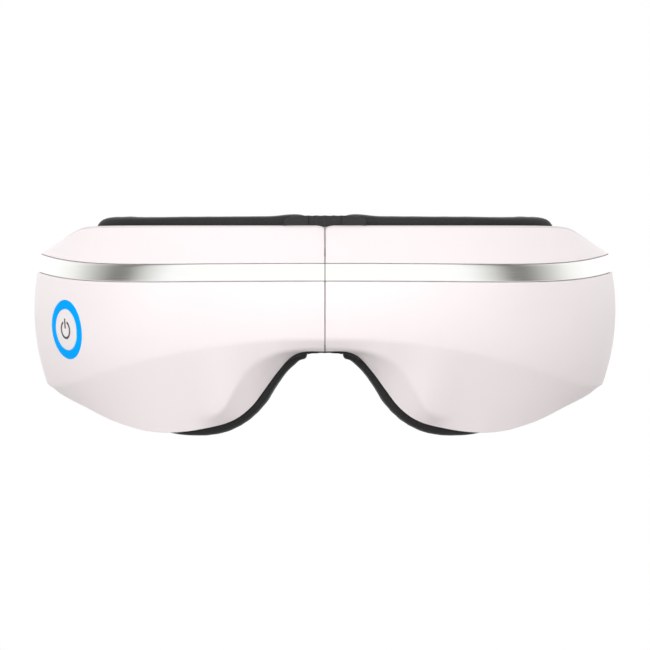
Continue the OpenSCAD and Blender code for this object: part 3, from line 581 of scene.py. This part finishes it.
def tube_mesh(name, rings_, mat=None, closed_ends=True, side=1, sharp=32):
    """closed tube from rings of equal count"""
    n, m = len(rings_), len(rings_[0])
    f = grid_faces(n, m, wrap_m=True)
    if closed_ends:
        f.append(tuple(range(m)))
        f.append(tuple((n - 1) * m + j for j in range(m - 1, -1, -1)))
    return mesh_obj(name, np.concatenate(rings_), f, mat, side, sharp)


def cut(ob, sharp):
    """the button's seat and the charging port, through the right shell"""
    rings_ = []
    for h in (-7.0, 6.0):
        rings_.append(np.array([BP + BU * 9.3 * math.cos(a) + BW * 9.3 * math.sin(a) + BN * h
                                for a in np.linspace(0, 2 * math.pi, 65)[:-1]]))
    c1 = tube_mesh("cut_a", rings_, None, True, -1)
    o1, r1 = O(1.0), R(1.0)
    d = (r1 - o1) / np.linalg.norm(r1 - o1)
    p0 = np.array([o1[0] + 4.6 * d[0], o1[1] + 4.6 * d[1], 40.0])
    a = (heading(FP, 1.0) + heading(RP, 1.0)) / 2
    ax, ay = np.array([math.cos(a), math.sin(a), 0]), np.array([-math.sin(a), math.cos(a), 0])
    prof = []
    for k in range(40):
        q = 2 * math.pi * k / 40
        cz = 2.9 if math.sin(q) >= 0 else -2.9
        prof.append((1.85 * math.cos(q), cz + 1.85 * math.sin(q)))
    c2 = tube_mesh("cut_b", [np.array([p0 + ax * h + ay * y + np.array([0, 0, z]) for y, z in prof]) for h in (-5.0, 4.0)], None, True, -1)
    for c in (c1, c2):
        md = ob.modifiers.new("cut", "BOOLEAN")
        md.operation = "DIFFERENCE"; md.solver = "EXACT"; md.object = c
    applied(ob, sharp)
    for c in (c1, c2): bpy.data.objects.remove(c)


def trim(side_name, side):
    rings_ = []
    for t in stations():
        za, zb = z_bt(t) - 0.34, z_bt(t) - BAND_H + 0.34
        zs = np.linspace(za - 0.22, zb + 0.22, 8)
        pr = [(F(za) + 0.16, za), (F(za - 0.06) + 0.05, za - 0.06)] + [(F(z), z) for z in zs] + \
             [(F(zb + 0.06) + 0.05, zb + 0.06), (F(zb) + 0.16, zb), (F(zb) + 0.8, zb), (F(za) + 0.8, za)]
        P = lift(t, np.array(pr))
        P[:, 0] += GAP * max(0.0, 1 - O(t)[0] / 6)
        if t == 0.0: P[:, 0] = GAP
        rings_.append(P)
    return tube_mesh(side_name + "_trim_strip", rings_, M_trim, True, side, 30)


for nm, sd in SIDES:
    s = shell(nm, sd)
    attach(s, HALF[nm]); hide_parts(nm + "_shell")
    s = trim(nm, sd)
    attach(s, HALF[nm]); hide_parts(nm + "_trim_band")


# ------------------------------------------------------------------ power button
def revolve_on_btn(name, prof, mat, n=128, closed=True, sharp=30):
    """prof: (radius, height above the face); the loop closes on itself"""
    V = []
    for k in range(n):
        a = 2 * math.pi * k / n
        for r, h in prof:
            V.append(on_btn(r * math.cos(a), r * math.sin(a), h))
    return mesh_obj(name, V, grid_faces(n, len(prof), wrap_m=True, wrap_n=True), mat, -1, sharp)


ring = revolve_on_btn("light_ring_lens", [(9.98, -2.4), (9.98, -0.02), (9.93, 0.05), (9.8, 0.1), (9.5, 0.13), (8.5, 0.15), (7.5, 0.13),
                                          (7.2, 0.1), (7.06, 0.05), (7.0, -0.03), (7.0, -2.4)], M_ring)
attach(ring, "right_half"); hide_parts("light_ring")


def cap_piece():
    n, prof = 96, [(6.93, -2.2), (6.93, -0.1), (6.88, -0.02), (6.75, 0.04), (6.4, 0.06), (5, 0.05), (3.5, 0.04), (2, 0.04), (0.8, 0.04)]
    V = []
    for k in range(n):
        a = 2 * math.pi * k / n
        for r, h in prof:
            V.append(on_btn(r * math.cos(a), r * math.sin(a), h))
    m = len(prof)
    f = grid_faces(n, m, wrap_n=True)
    c = len(V); V.append(on_btn(0, 0, 0.04)); V.append(on_btn(0, 0, -2.2))
    for k in range(n):
        k2 = (k + 1) % n
        f.append((k * m + m - 1, k2 * m + m - 1, c))
        f.append((k2 * m, k * m, c + 1))
    return mesh_obj("button_cap_skin", V, f, M_cap, -1, 30)


cap = cap_piece()
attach(cap, "power_button"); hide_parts("button_cap")


def stroke(name, loops, h0, h1, mat):
    """thin raised print: each loop is a list of (left, right) pairs along a stroke"""
    V, f = [], []
    for lp in loops:
        b = len(V); n = len(lp)
        for (l, r) in lp:
            V += [on_btn(l[0], l[1], h0), on_btn(l[0], l[1], h1), on_btn(r[0], r[1], h1), on_btn(r[0], r[1], h0)]
        f += grid_faces(n, 4, b, wrap_m=True)
        f.append((b, b + 1, b + 2, b + 3)); f.append(tuple(b + (n - 1) * 4 + j for j in (3, 2, 1, 0)))
    return mesh_obj(name, V, f, mat, -1, 30)


def power_icon():
    r, w = 2.75, 0.36
    arc = []
    A0, A1 = math.radians(90 + 25), math.radians(90 + 335)
    for a in np.linspace(A0, A1, 60):
        c, s = math.cos(a), math.sin(a)
        arc.append(((( r - w) * c, (r - w) * s), ((r + w) * c, (r + w) * s)))
    bar = []
    for y in np.linspace(0.55, 3.65, 8):
        bar.append(((-w, y), (w, y)))
    rnd = [((-w * 0.6, 0.42), (w * 0.6, 0.42))] + bar + [((-w * 0.6, 3.78), (w * 0.6, 3.78))]
    return stroke("power_icon", [arc, rnd], 0.02, 0.1, M_symbol)


icon = power_icon()
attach(icon, "power_button"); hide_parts("power_symbol")

# ------------------------------------------------------------------ cushions
PAD = np.array([[6, 62], [6, 72.4], [20, 72.5], [35, 72.4], [50, 72.3], [62, 72.1], [70.5, 72.2], [77.4, 71.4], [79.6, 66.8], [78.5, 56], [78, 44],
                [77.5, 33], [76, 22], [73, 13], [68, 6.7], [61, 2.2], [52, -0.1], [44, -0.6], [37, 0.0], [31, 1.9], [25.5, 5.2], [20.5, 10.1],
                [16.5, 16.1], [13, 20.7], [9, 24.3], [6, 26.4], [6, 38], [6, 50]], float)
EYE = np.array([40.0, 39.0]); EYE_W, EYE_H, PAD_T = 48.0, 40.0, 12.5


def pad_edge(s):
    n = len(PAD); i = int(math.floor(s)); u = s - i
    a, b, c, d = (PAD[(i + k) % n] for k in (-1, 0, 1, 2))
    p = 0.5 * ((2 * b) + (c - a) * u + (2 * a - 5 * b + 4 * c - d) * u * u + (3 * b - a - 3 * c + d) * u ** 3)
    return np.array([max(6, p[0]), p[1]])


def oval(a, w=EYE_W, h=EYE_H, p=2.4):
    c, s = math.cos(a), math.sin(a)
    r = (abs(c / (w / 2)) ** p + abs(s / (h / 2)) ** p) ** (-1 / p)
    return EYE + r * np.array([c, s])


def over(x, z, h, slack=0.0):
    t = t_of(x)
    p = R(t) + h * nR(t)
    return np.array([p[0], min(p[1], 22 + p[0] - 0.6 - slack), z])


# (share across from the outer edge to the opening, share of the thickness)
PROF = [(0.05, 0.0), (0.012, 0.12), (0.0, 0.26), (0.005, 0.40), (0.02, 0.53), (0.05, 0.66), (0.095, 0.775), (0.16, 0.87), (0.24, 0.94),
        (0.33, 0.98), (0.42, 1.0), (0.52, 1.01), (0.62, 1.0), (0.71, 0.975), (0.79, 0.93), (0.86, 0.86), (0.92, 0.76), (0.962, 0.64),
        (0.99, 0.5), (1.0, 0.36), (1.0, 0.22), (0.985, 0.08), (0.965, 0.0), (0.75, 0.0), (0.5, 0.0), (0.25, 0.0)]
SEAM_OUT, SEAM_IN = 5, 16      # rows of the profile where the panels are sewn


def pad_grid(n=168):
    rows = []
    for i in range(n):
        e = pad_edge(i * 28 / n)
        a = math.atan2(e[1] - EYE[1], e[0] - EYE[0])
        o = oval(a)
        rows.append((e, o))
    return rows


def cushion(side_name, side):
    n = 168
    rows = pad_grid(n)
    V = []
    for e, o in rows:
        for k, (f_, h_) in enumerate(PROF):
            q = e + (o - e) * f_
            V.append(over(q[0], q[1], 2.3 + (PAD_T - 0.5) * h_, 0.25))
    m = len(PROF)
    ob = mesh_obj(side_name + "_face_pad", V, grid_faces(n, m, wrap_m=True, wrap_n=True), M_pad, side, 180)
    puff(ob, n, m)
    # the sewn rows sink into a valley, with puckers on both sides
    co = np.array([v.co for v in ob.data.vertices]).reshape(n, m, 3)
    nr = np.array([v.normal for v in ob.data.vertices]).reshape(n, m, 3)
    rng = np.random.default_rng(7 if side > 0 else 11)
    ph = np.cumsum(rng.uniform(0.7, 1.3, n)); ph = ph / ph[-1] * 2 * math.pi * 46
    amp = np.interp(np.arange(n), np.arange(0, n + 12, 12)[:15], rng.uniform(0.4, 1.0, 15))
    for row, depth in ((SEAM_OUT, 0.00055), (SEAM_IN, 0.00050)):
        for d in range(-3, 4):
            k = (row + d) % m
            g = math.exp(-(d / 1.0) ** 2)
            co[:, k] -= nr[:, k] * depth * g
            if d:
                co[:, k] += nr[:, k] * (0.00013 * math.exp(-((abs(d) - 1) / 1.2) ** 2) * amp * np.sin(ph + 0.6 * row))[:, None]
    ob.data.vertices.foreach_set("co", co.reshape(-1))
    ob.data.update()
    sub = ob.modifiers.new("sub", "SUBSURF"); sub.levels = 1; sub.render_levels = 1
    applied(ob, 180)
    return ob, co, nr


def puff(ob, n, m):
    """fills the pad by cloth simulation: the sewn rows and the base are held"""
    before = np.array([v.co for v in ob.data.vertices])
    vg = ob.vertex_groups.new(name="sewn")
    held = [i * m + k for i in range(n) for k in (SEAM_OUT, SEAM_IN, 0, 1, 2, 20, 21, 22, 23, 24, 25)]
    vg.add(held, 1.0, "ADD")
    md = ob.modifiers.new("cloth", "CLOTH")
    st = md.settings
    st.quality = 6; st.mass = 0.15
    st.tension_stiffness = 18; st.compression_stiffness = 6; st.shear_stiffness = 4; st.bending_stiffness = 0.25
    st.vertex_group_mass = "sewn"
    st.use_pressure = True; st.uniform_pressure_force = 4.0
    st.shrink_min = -0.045
    st.effector_weights.gravity = 0
    md.point_cache.frame_start = 1; md.point_cache.frame_end = 20
    sc = bpy.context.scene
    for fr in range(1, 21): sc.frame_set(fr)
    dg = bpy.context.evaluated_depsgraph_get()
    after = np.array([v.co for v in ob.evaluated_get(dg).data.vertices])
    sc.frame_set(1)
    ob.modifiers.clear(); ob.vertex_groups.clear()
    d = after - before
    ln = np.linalg.norm(d, axis=1)
    print("puff", ob.name, "max mm", round(float(ln.max() * 1000), 2), "mean", round(float(ln.mean() * 1000), 3))
    cap_ = 0.0013
    k = np.where(ln > 1e-9, cap_ * np.tanh(ln / cap_) / np.maximum(ln, 1e-9), 1.0)
    k = (k.reshape(n, m) * np.array([0.3 if j < 5 else 0.6 if j < 7 else 1.0 for j in range(m)])[None, :]).reshape(-1)
    ob.data.vertices.foreach_set("co", (before + d * k[:, None]).reshape(-1))
    ob.data.update()


def stitches(side_name, side, co, nr, mat=None):
    """thread over both sewn rows, each stitch a short rounded bar"""
    V, f = [], []
    n, m = co.shape[:2]
    for row in (SEAM_OUT, SEAM_IN):
        path = co[:, row]; up = nr[:, row]
        seg = np.linalg.norm(np.roll(path, -1, 0) - path, axis=1)
        s = np.concatenate([[0], np.cumsum(seg)])
        total = s[-1]
        P = np.vstack([path, path[:1]]); U = np.vstack([up, up[:1]])
        at = lambda q: np.array([np.interp(q % total, s, P[:, k]) for k in range(3)])
        upa = lambda q: np.array([np.interp(q % total, s, U[:, k]) for k in range(3)])
        cnt = int(total / 0.0026)
        for c in range(cnt):
            q = total * c / cnt
            L_ = 0.0017
            pts = [at(q + L_ * k) for k in (0, 0.12, 0.35, 0.65, 0.88, 1)]
            rad = [0.00006, 0.00017, 0.0002, 0.0002, 0.00017, 0.00006]
            hgt = [-0.00022, 0.00008, 0.0002, 0.0002, 0.00008, -0.00022]
            b = len(V)
            u0 = upa(q + L_ / 2); u0 /= np.linalg.norm(u0)
            tx = pts[-1] - pts[0]; tx /= np.linalg.norm(tx)
            sd_ = np.cross(tx, u0); sd_ /= np.linalg.norm(sd_)
            for p_, r_, h_ in zip(pts, rad, hgt):
                cpt = p_ + u0 * (h_ + 0.00012)
                for a in range(6):
                    V.append(cpt + sd_ * r_ * math.cos(a * math.pi / 3) + u0 * r_ * math.sin(a * math.pi / 3))
            f += grid_faces(6, 6, b, wrap_m=True)
            f.append(tuple(b + k for k in range(6))); f.append(tuple(b + 30 + k for k in (5, 4, 3, 2, 1, 0)))
    return mesh_obj(side_name + "_pad_stitches", V, f, M_thread, 1, 60, metres=True)


for nm, sd in SIDES:
    pad, co, nr = cushion(nm, sd)
    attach(pad, HALF[nm]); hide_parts(nm + "_cushion")
    st_ = stitches(nm, sd, co, nr)
    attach(st_, HALF[nm])


# ------------------------------------------------------------------ eye membranes
def yR(x): return R(t_of(x))[1]


KNOBS = [(-11, 0), (11, 0), (-5.5, 9), (5.5, 9), (-5.5, -9), (5.5, -9), (0, 0)]


RC = R(t_of(40.0)); NS_ = nR(t_of(40.0)); TS_ = np.array([NS_[1], -NS_[0]])


def surf(u, v, h):
    """point u across and v up from the eye's middle, h off the rear curve, in the frame of the plate's travel"""
    t = float(np.interp(u, (TR[240:1700] + h * TN[240:1700] - RC) @ TS_, TT[240:1700]))
    p = R(t) + h * nR(t)
    return np.array([p[0], p[1], EYE[1] + v])


def ring_oval(a, w, h, p=2.4):
    c, s_ = math.cos(a), math.sin(a)
    r = (abs(c / (w / 2)) ** p + abs(s_ / (h / 2)) ** p) ** (-1 / p)
    return r * c, r * s_


PAD_W, PAD_H, PAD_U = 41.4, 33.4, 0.5


def eye_pad(side_name, side):
    """knitted cover over the massage nodes; it travels with the plate inside its surround"""
    na, nk = 112, 22
    outer, inner = [], []
    for k in range(1, nk + 1):
        rho = k / nk
        ro, ri = [], []
        for j in range(na):
            u, v = ring_oval(2 * math.pi * j / na, PAD_W, PAD_H)
            u, v = u * rho, v * rho
            bump = sum(math.exp(-((u - kx) ** 2 + (v - kz) ** 2) / 7.5) for kx, kz in KNOBS)
            h = 12.0 - 1.9 * rho ** 5 + 0.85 * min(1.0, bump) * (1 - rho ** 6)
            ro.append(surf(PAD_U + u, v, h))
            ri.append(surf(PAD_U + u * 0.975, v * 0.975, 11.25 - 1.7 * rho ** 5))
        outer.append(np.array(ro)); inner.append(np.array(ri))
    c0, c1 = surf(PAD_U, 0, 12.85), surf(PAD_U, 0, 11.25)
    down = np.array([NS_[0], NS_[1], 0])
    skirt = [outer[-1] - down * d for d in (0.5, 1.2, 2.2, 3.4, 4.4)]
    skin = [inner[-1] - down * d for d in (4.4 - 1.1, 2.4, 1.2, 0.4)]
    rows_ = outer + skirt + skin + inner[::-1]
    V = [c0] + [q for r in rows_ for q in r] + [c1]
    f = [(0, 1 + j, 1 + (j + 1) % na) for j in range(na)]
    f += grid_faces(len(rows_), na, 1, wrap_m=True)
    L = 1 + (len(rows_) - 1) * na
    f += [(len(V) - 1, L + (j + 1) % na, L + j) for j in range(na)]
    return mesh_obj(side_name + "_eye_pad", V, f, M_mesh, side, 60)


def surround(side_name, side):
    """stretch fabric from the cushion's opening to the moving pad, rolled like a small bolster"""
    na, nk = 112, 14
    top, bot = [], []
    for k in range(nk + 1):
        q = k / nk
        rt, rb = [], []
        for j in range(na):
            a = 2 * math.pi * j / na
            o = oval(a, 47.7, 39.7)
            po = over(o[0], o[1], 9.2)
            u, v = ring_oval(a, PAD_W + 0.7, PAD_H + 0.7)
            pi = surf(PAD_U + u, v, 9.0)
            lift_ = 1.5 * math.sin(math.pi * (0.12 + 0.8 * q)) + 0.09 * math.sin(a * 64) * math.sin(math.pi * q)
            n_ = np.array([NS_[0], NS_[1], 0])
            rt.append(po + (pi - po) * q + n_ * lift_)
            rb.append(po + (pi - po) * q + n_ * (lift_ - 0.8))
        top.append(np.array(rt)); bot.append(np.array(rb))
    rows_ = top + bot[::-1]
    V = np.concatenate(rows_)
    return mesh_obj(side_name + "_pad_surround", V, grid_faces(len(rows_), na, wrap_m=True, wrap_n=True), M_mesh, side, 60)


for nm, sd in SIDES:
    mb = surround(nm, sd)
    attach(mb, HALF[nm]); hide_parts(nm + "_membrane")
    mb = eye_pad(nm, sd)
    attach(mb, nm + "_plate")


# ------------------------------------------------------------------ bridge gusset and flexible link
def gusset():
    """moulded bellows: a C-shaped channel round the hinge, pleated across"""
    xs, V = np.linspace(-5.75, 5.75, 93), []
    prof = []
    path = [(18.75, 69.0), (18.75, 72.45), (19.1, 72.75), (24, 72.75), (27.0, 72.5), (28.1, 71.6), (28.3, 70), (28.3, 60), (28.3, 50), (28.3, 40),
            (28.3, 30), (28.1, 28.4), (27.2, 27.5), (24, 27.2), (19.1, 27.0), (18.7, 27.4), (18.7, 29.2), (24, 29.3), (25.6, 29.4), (26.2, 30.2),
            (26.3, 40), (26.3, 50), (26.3, 60), (26.2, 69.2), (25.6, 70.0), (24, 70.1), (19.5, 70.1), (19.5, 69.0)]
    pts = np.array(path)
    c = pts.mean(0)
    outer = set(range(0, 17))
    for x in xs:
        w = 0.5 - 0.5 * math.cos(2 * math.pi * (x + 5.75) / 11.5 * 4)
        for k, (y, z) in enumerate(pts):
            d = 0.55 * w if k in outer else 0.0
            ny, nz = 0.0, 0.0
            if k in outer:
                if z > 71: nz = -1 if y > 21 else -0.15
                elif z < 28.6: nz = 1 if y > 21 else 0.15
                else: ny = -1
                if k in (0, 1, 5, 11, 15, 16): ny = nz = 0
            if k in (12, 13, 14): z -= 0.4 * (x / 5.75) ** 2
            V.append((x, y + ny * d, z + nz * d))
    n, m = len(xs), len(pts)
    f = grid_faces(n, m, wrap_m=True)
    f.append(tuple(range(m))); f.append(tuple((n - 1) * m + j for j in range(m - 1, -1, -1)))
    return mesh_obj("bridge_bellows", V, f, M_gusset, 1, 50)


gs = gusset()
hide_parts("bridge_gusset")
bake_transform(gs)


def link():
    V, rings_ = [], []
    xs = np.linspace(-14, 14, 113)
    for x in xs:
        r = 1.42 + 0.18 * math.cos(2 * math.pi * x / 1.0)
        if 9.5 < abs(x) < 14: r = 2.1
        if abs(x) > 13.7: r = 1.7
        rings_.append(np.array([(x, 14.6 + r * math.cos(a), 60.6 + r * math.sin(a)) for a in np.linspace(0, 2 * math.pi, 21)[:-1]]))
    return tube_mesh("flex_sleeve", rings_, M_link, True, 1, 60)


def flanges(side_name, side):
    """the gusset's rigid lips, tucked between the shell's rim and the cushion"""
    V, f = [], []
    for pts in ([(5.5, 69.0), (5.5, 72.7), (8.6, 72.7), (11.0, 72.4), (13.0, 71.6), (13.8, 70.6), (13.8, 69.0)],
                [(5.3, 30.0), (13.8, 30.0), (13.8, 23.2), (13.3, 23.6), (11.5, 24.8), (9.2, 25.8), (7.4, 26.4), (5.3, 26.9)]):
        m = len(pts)
        for y0, ins in ((18.35, 0.15), (18.55, 0), (20.9, 0), (21.1, 0.15)):
            c = np.mean(pts, axis=0)
            for x, z in pts:
                d = c - np.array([x, z]); d = d / np.linalg.norm(d) * ins
                V.append((x + d[0], y0, z + d[1]))
        b = len(V) - 4 * m
        f += grid_faces(4, m, b, wrap_m=True)
        f.append(tuple(b + k for k in range(m))); f.append(tuple(b + 3 * m + k for k in range(m - 1, -1, -1)))
    return mesh_obj(side_name + "_gusset_lips", V, f, M_gusset, side, 40)


for nm, sd in SIDES:
    fl = flanges(nm, sd)
    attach(fl, HALF[nm])

lk = link()
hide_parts("flex_link")
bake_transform(lk)


# ------------------------------------------------------------------ strap
def strap():
    """woven elastic: one run across, a loop round each bar, the ends sewn back"""
    b = R(0.9) + 6.5 * nR(0.9)
    ro, th = 2.45, 1.35
    pts = []
    for x in np.linspace(37, b[0], 60)[:-1]: pts.append((x, b[1] + ro))
    for a in np.linspace(math.pi / 2, -math.pi / 2, 26): pts.append((b[0] + ro * math.cos(a), b[1] + ro * math.sin(a)))
    right_part = pts
    mid = [(x, b[1] - ro) for x in np.linspace(b[0], -b[0], 260)[1:-1]]
    left_part = [(-x, y) for x, y in reversed(right_part)]
    line = np.array(right_part + mid + left_part)
    tan = np.gradient(line, axis=0); tan /= np.linalg.norm(tan, axis=1)[:, None]
    nrm = np.column_stack([-tan[:, 1], tan[:, 0]])
    zc, w = 44.0, 28.0
    rings_ = []
    zs = np.linspace(-w / 2, w / 2, 30)
    for i, (p, nn) in enumerate(zip(line, nrm)):
        ring_ = []
        taper = 1.0
        if i < 3 or i > len(line) - 4: taper = 0.7
        for side_ in (1, -1):
            for z in (zs if side_ > 0 else zs[::-1]):
                u = abs(z) / (w / 2)
                h = th / 2 * (1 - max(0, (u - 0.93) / 0.07) ** 2 * 0.55) * taper
                h += 0.05 * math.cos(z * 2 * math.pi / 1.75)
                ring_.append((p[0] + nn[0] * h * side_, p[1] + nn[1] * h * side_, zc + z))
        rings_.append(np.array(ring_))
    return tube_mesh("elastic_strap", rings_, M_strap, True, 1, 50)


sp = strap()
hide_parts("strap_band")
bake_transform(sp)

# bevels on the hard CAD pieces that show
for k in ("right_adjuster", "left_adjuster", "right_strap_anchor", "left_strap_anchor", "right_hinge_leaf", "left_hinge_leaf", "usb_c_socket"):
    md = nodes[k].modifiers.new("edge", "BEVEL")
    md.width = 0.00022; md.segments = 2; md.limit_method = "ANGLE"; md.angle_limit = math.radians(40)

# ------------------------------------------------------------------ stage, light, camera
def floor():
    me = bpy.data.meshes.new("studio_floor")
    s, z = 14.0, -0.17
    me.from_pydata([(-s, -s, z), (s, -s, z), (s, s, z), (-s, s, z)], [], [(0, 1, 2, 3)])
    ob = bpy.data.objects.new("studio_floor", me)
    bpy.context.scene.collection.objects.link(ob)
    m = bpy.data.materials.new("floor_pale"); m.use_nodes = True
    nt = m.node_tree; nt.nodes.clear()
    out = nt.nodes.new("ShaderNodeOutputMaterial")
    d = nt.nodes.new("ShaderNodeBsdfDiffuse"); d.inputs[0].default_value = (0.6, 0.595, 0.595, 1)
    e = nt.nodes.new("ShaderNodeEmission"); e.inputs[0].default_value = (1, 1, 1, 1); e.inputs[1].default_value = 1.0
    mx = nt.nodes.new("ShaderNodeMixShader")
    tc = nt.nodes.new("ShaderNodeTexCoord")
    ln = nt.nodes.new("ShaderNodeVectorMath"); ln.operation = "LENGTH"
    nt.links.new(tc.outputs["Object"], ln.inputs[0])
    mr = nt.nodes.new("ShaderNodeMapRange"); mr.interpolation_type = "SMOOTHSTEP"
    mr.inputs["From Min"].default_value = 0.3; mr.inputs["From Max"].default_value = 1.0
    nt.links.new(ln.outputs["Value"], mr.inputs["Value"])
    nt.links.new(mr.outputs[0], mx.inputs[0]); nt.links.new(d.outputs[0], mx.inputs[1]); nt.links.new(e.outputs[0], mx.inputs[2])
    nt.links.new(mx.outputs[0], out.inputs[0])
    me.materials.append(m)


floor()
sc = bpy.context.scene
world = bpy.data.worlds.new("studio"); sc.world = world
world.use_nodes = True
wt = world.node_tree; wt.nodes.clear()
wo = wt.nodes.new("ShaderNodeOutputWorld")
tc = wt.nodes.new("ShaderNodeTexCoord")
sx = wt.nodes.new("ShaderNodeSeparateXYZ"); wt.links.new(tc.outputs["Generated"], sx.inputs[0])
ab = wt.nodes.new("ShaderNodeMath"); ab.operation = "ABSOLUTE"; wt.links.new(sx.outputs[0], ab.inputs[0])
ng = wt.nodes.new("ShaderNodeMath"); ng.operation = "MULTIPLY"; ng.inputs[1].default_value = -1; wt.links.new(sx.outputs[1], ng.inputs[0])
az = wt.nodes.new("ShaderNodeMath"); az.operation = "ARCTAN2"; wt.links.new(ab.outputs[0], az.inputs[0]); wt.links.new(ng.outputs[0], az.inputs[1])
pi_ = wt.nodes.new("ShaderNodeMath"); pi_.operation = "DIVIDE"; pi_.inputs[1].default_value = math.pi; wt.links.new(az.outputs[0], pi_.inputs[0])
# dark flags stand left and right of the part; only reflections see them strongly
rt_ = wt.nodes.new("ShaderNodeMath"); rt_.operation = "GREATER_THAN"; rt_.inputs[1].default_value = 0; wt.links.new(sx.outputs[0], rt_.inputs[0])
sh_ = wt.nodes.new("ShaderNodeMath"); sh_.operation = "MULTIPLY_ADD"; sh_.inputs[1].default_value = 0.04; wt.links.new(rt_.outputs[0], sh_.inputs[0]); wt.links.new(pi_.outputs[0], sh_.inputs[2])
rp = ramp(wt, sh_.outputs[0], [(0.0, (1, 1, 1)), (0.29, (1, 1, 1)), (0.37, (0.62, 0.62, 0.61)), (0.425, (0.2, 0.198, 0.19)), (0.48, (0.2, 0.198, 0.19)),
                               (0.56, (0.5, 0.5, 0.49)), (0.66, (0.9, 0.9, 0.89)), (0.75, (1, 1, 1))])
bg = wt.nodes.new("ShaderNodeBackground"); wt.links.new(rp, bg.inputs[0]); bg.inputs[1].default_value = 1.25
bd = wt.nodes.new("ShaderNodeBackground"); bd.inputs[0].default_value = (1, 1, 1, 1); bd.inputs[1].default_value = 0.34
bw = wt.nodes.new("ShaderNodeBackground"); bw.inputs[0].default_value = (1, 1, 1, 1); bw.inputs[1].default_value = 1.0
lp = wt.nodes.new("ShaderNodeLightPath")
mxw = wt.nodes.new("ShaderNodeMixShader")
mg = wt.nodes.new("ShaderNodeMixShader")
wt.links.new(lp.outputs["Is Glossy Ray"], mg.inputs[0]); wt.links.new(bd.outputs[0], mg.inputs[1]); wt.links.new(bg.outputs[0], mg.inputs[2])
wt.links.new(lp.outputs["Is Camera Ray"], mxw.inputs[0]); wt.links.new(mg.outputs[0], mxw.inputs[1]); wt.links.new(bw.outputs[0], mxw.inputs[2])
wt.links.new(mxw.outputs[0], wo.inputs[0])


def area(name, loc, target, size, power, col=(1, 1, 1)):
    l = bpy.data.lights.new(name, "AREA"); l.shape = "RECTANGLE"; l.size, l.size_y = size
    l.energy = power; l.color = col
    o = bpy.data.objects.new(name, l); o.location = loc
    o.rotation_mode = "QUATERNION"
    o.rotation_quaternion = (Vector(target) - Vector(loc)).to_track_quat("-Z", "Y")
    sc.collection.objects.link(o)
    o.visible_glossy = False
    return o


area("front", (0.0, -1.96, 0.4), (0, 0, 0), (1.6, 0.4), 14)
area("key", (0.0, -1.64, 1.15), (0, 0, 0), (1.8, 0.9), 6.0)
area("top", (0.0, 0.0, 2.0), (0, 0, 0), (1.6, 1.2), 8)
area("fill_right", (-1.6, -0.95, 0.5), (0, 0, 0), (0.9, 0.8), 9.5)
area("fill_left", (1.5, -0.87, 0.95), (0, 0, 0), (0.9, 0.8), 5.5)
area("back", (0.0, 1.8, 0.8), (0, 0, 0), (1.8, 0.9), 15)

cam = bpy.data.cameras.new("camera")
cam.type = "PERSP"; cam.sensor_width = 36; cam.clip_start = 0.1; cam.clip_end = 60
co_ = bpy.data.objects.new("camera", cam); sc.collection.objects.link(co_)
DIST, ELEV = 8.0, math.radians(0.6)
# 650 px show 650/3 mm at the object; the picture's middle is 0 mm across and 36.3 mm above the lobes
cam.lens = 36 * DIST * 1000 / (650 / 3.0) * 1.003
tgt = Vector((0.0, -0.012, (109.0 / 3.0 - 40) / 1000))
co_.location = tgt + Vector((0, -math.cos(ELEV) * DIST, math.sin(ELEV) * DIST))
co_.rotation_mode = "QUATERNION"
co_.rotation_quaternion = (tgt - co_.location).to_track_quat("-Z", "Y")
sc.camera = co_
sc.view_settings.view_transform = "Standard"
sc.view_settings.look = "None"
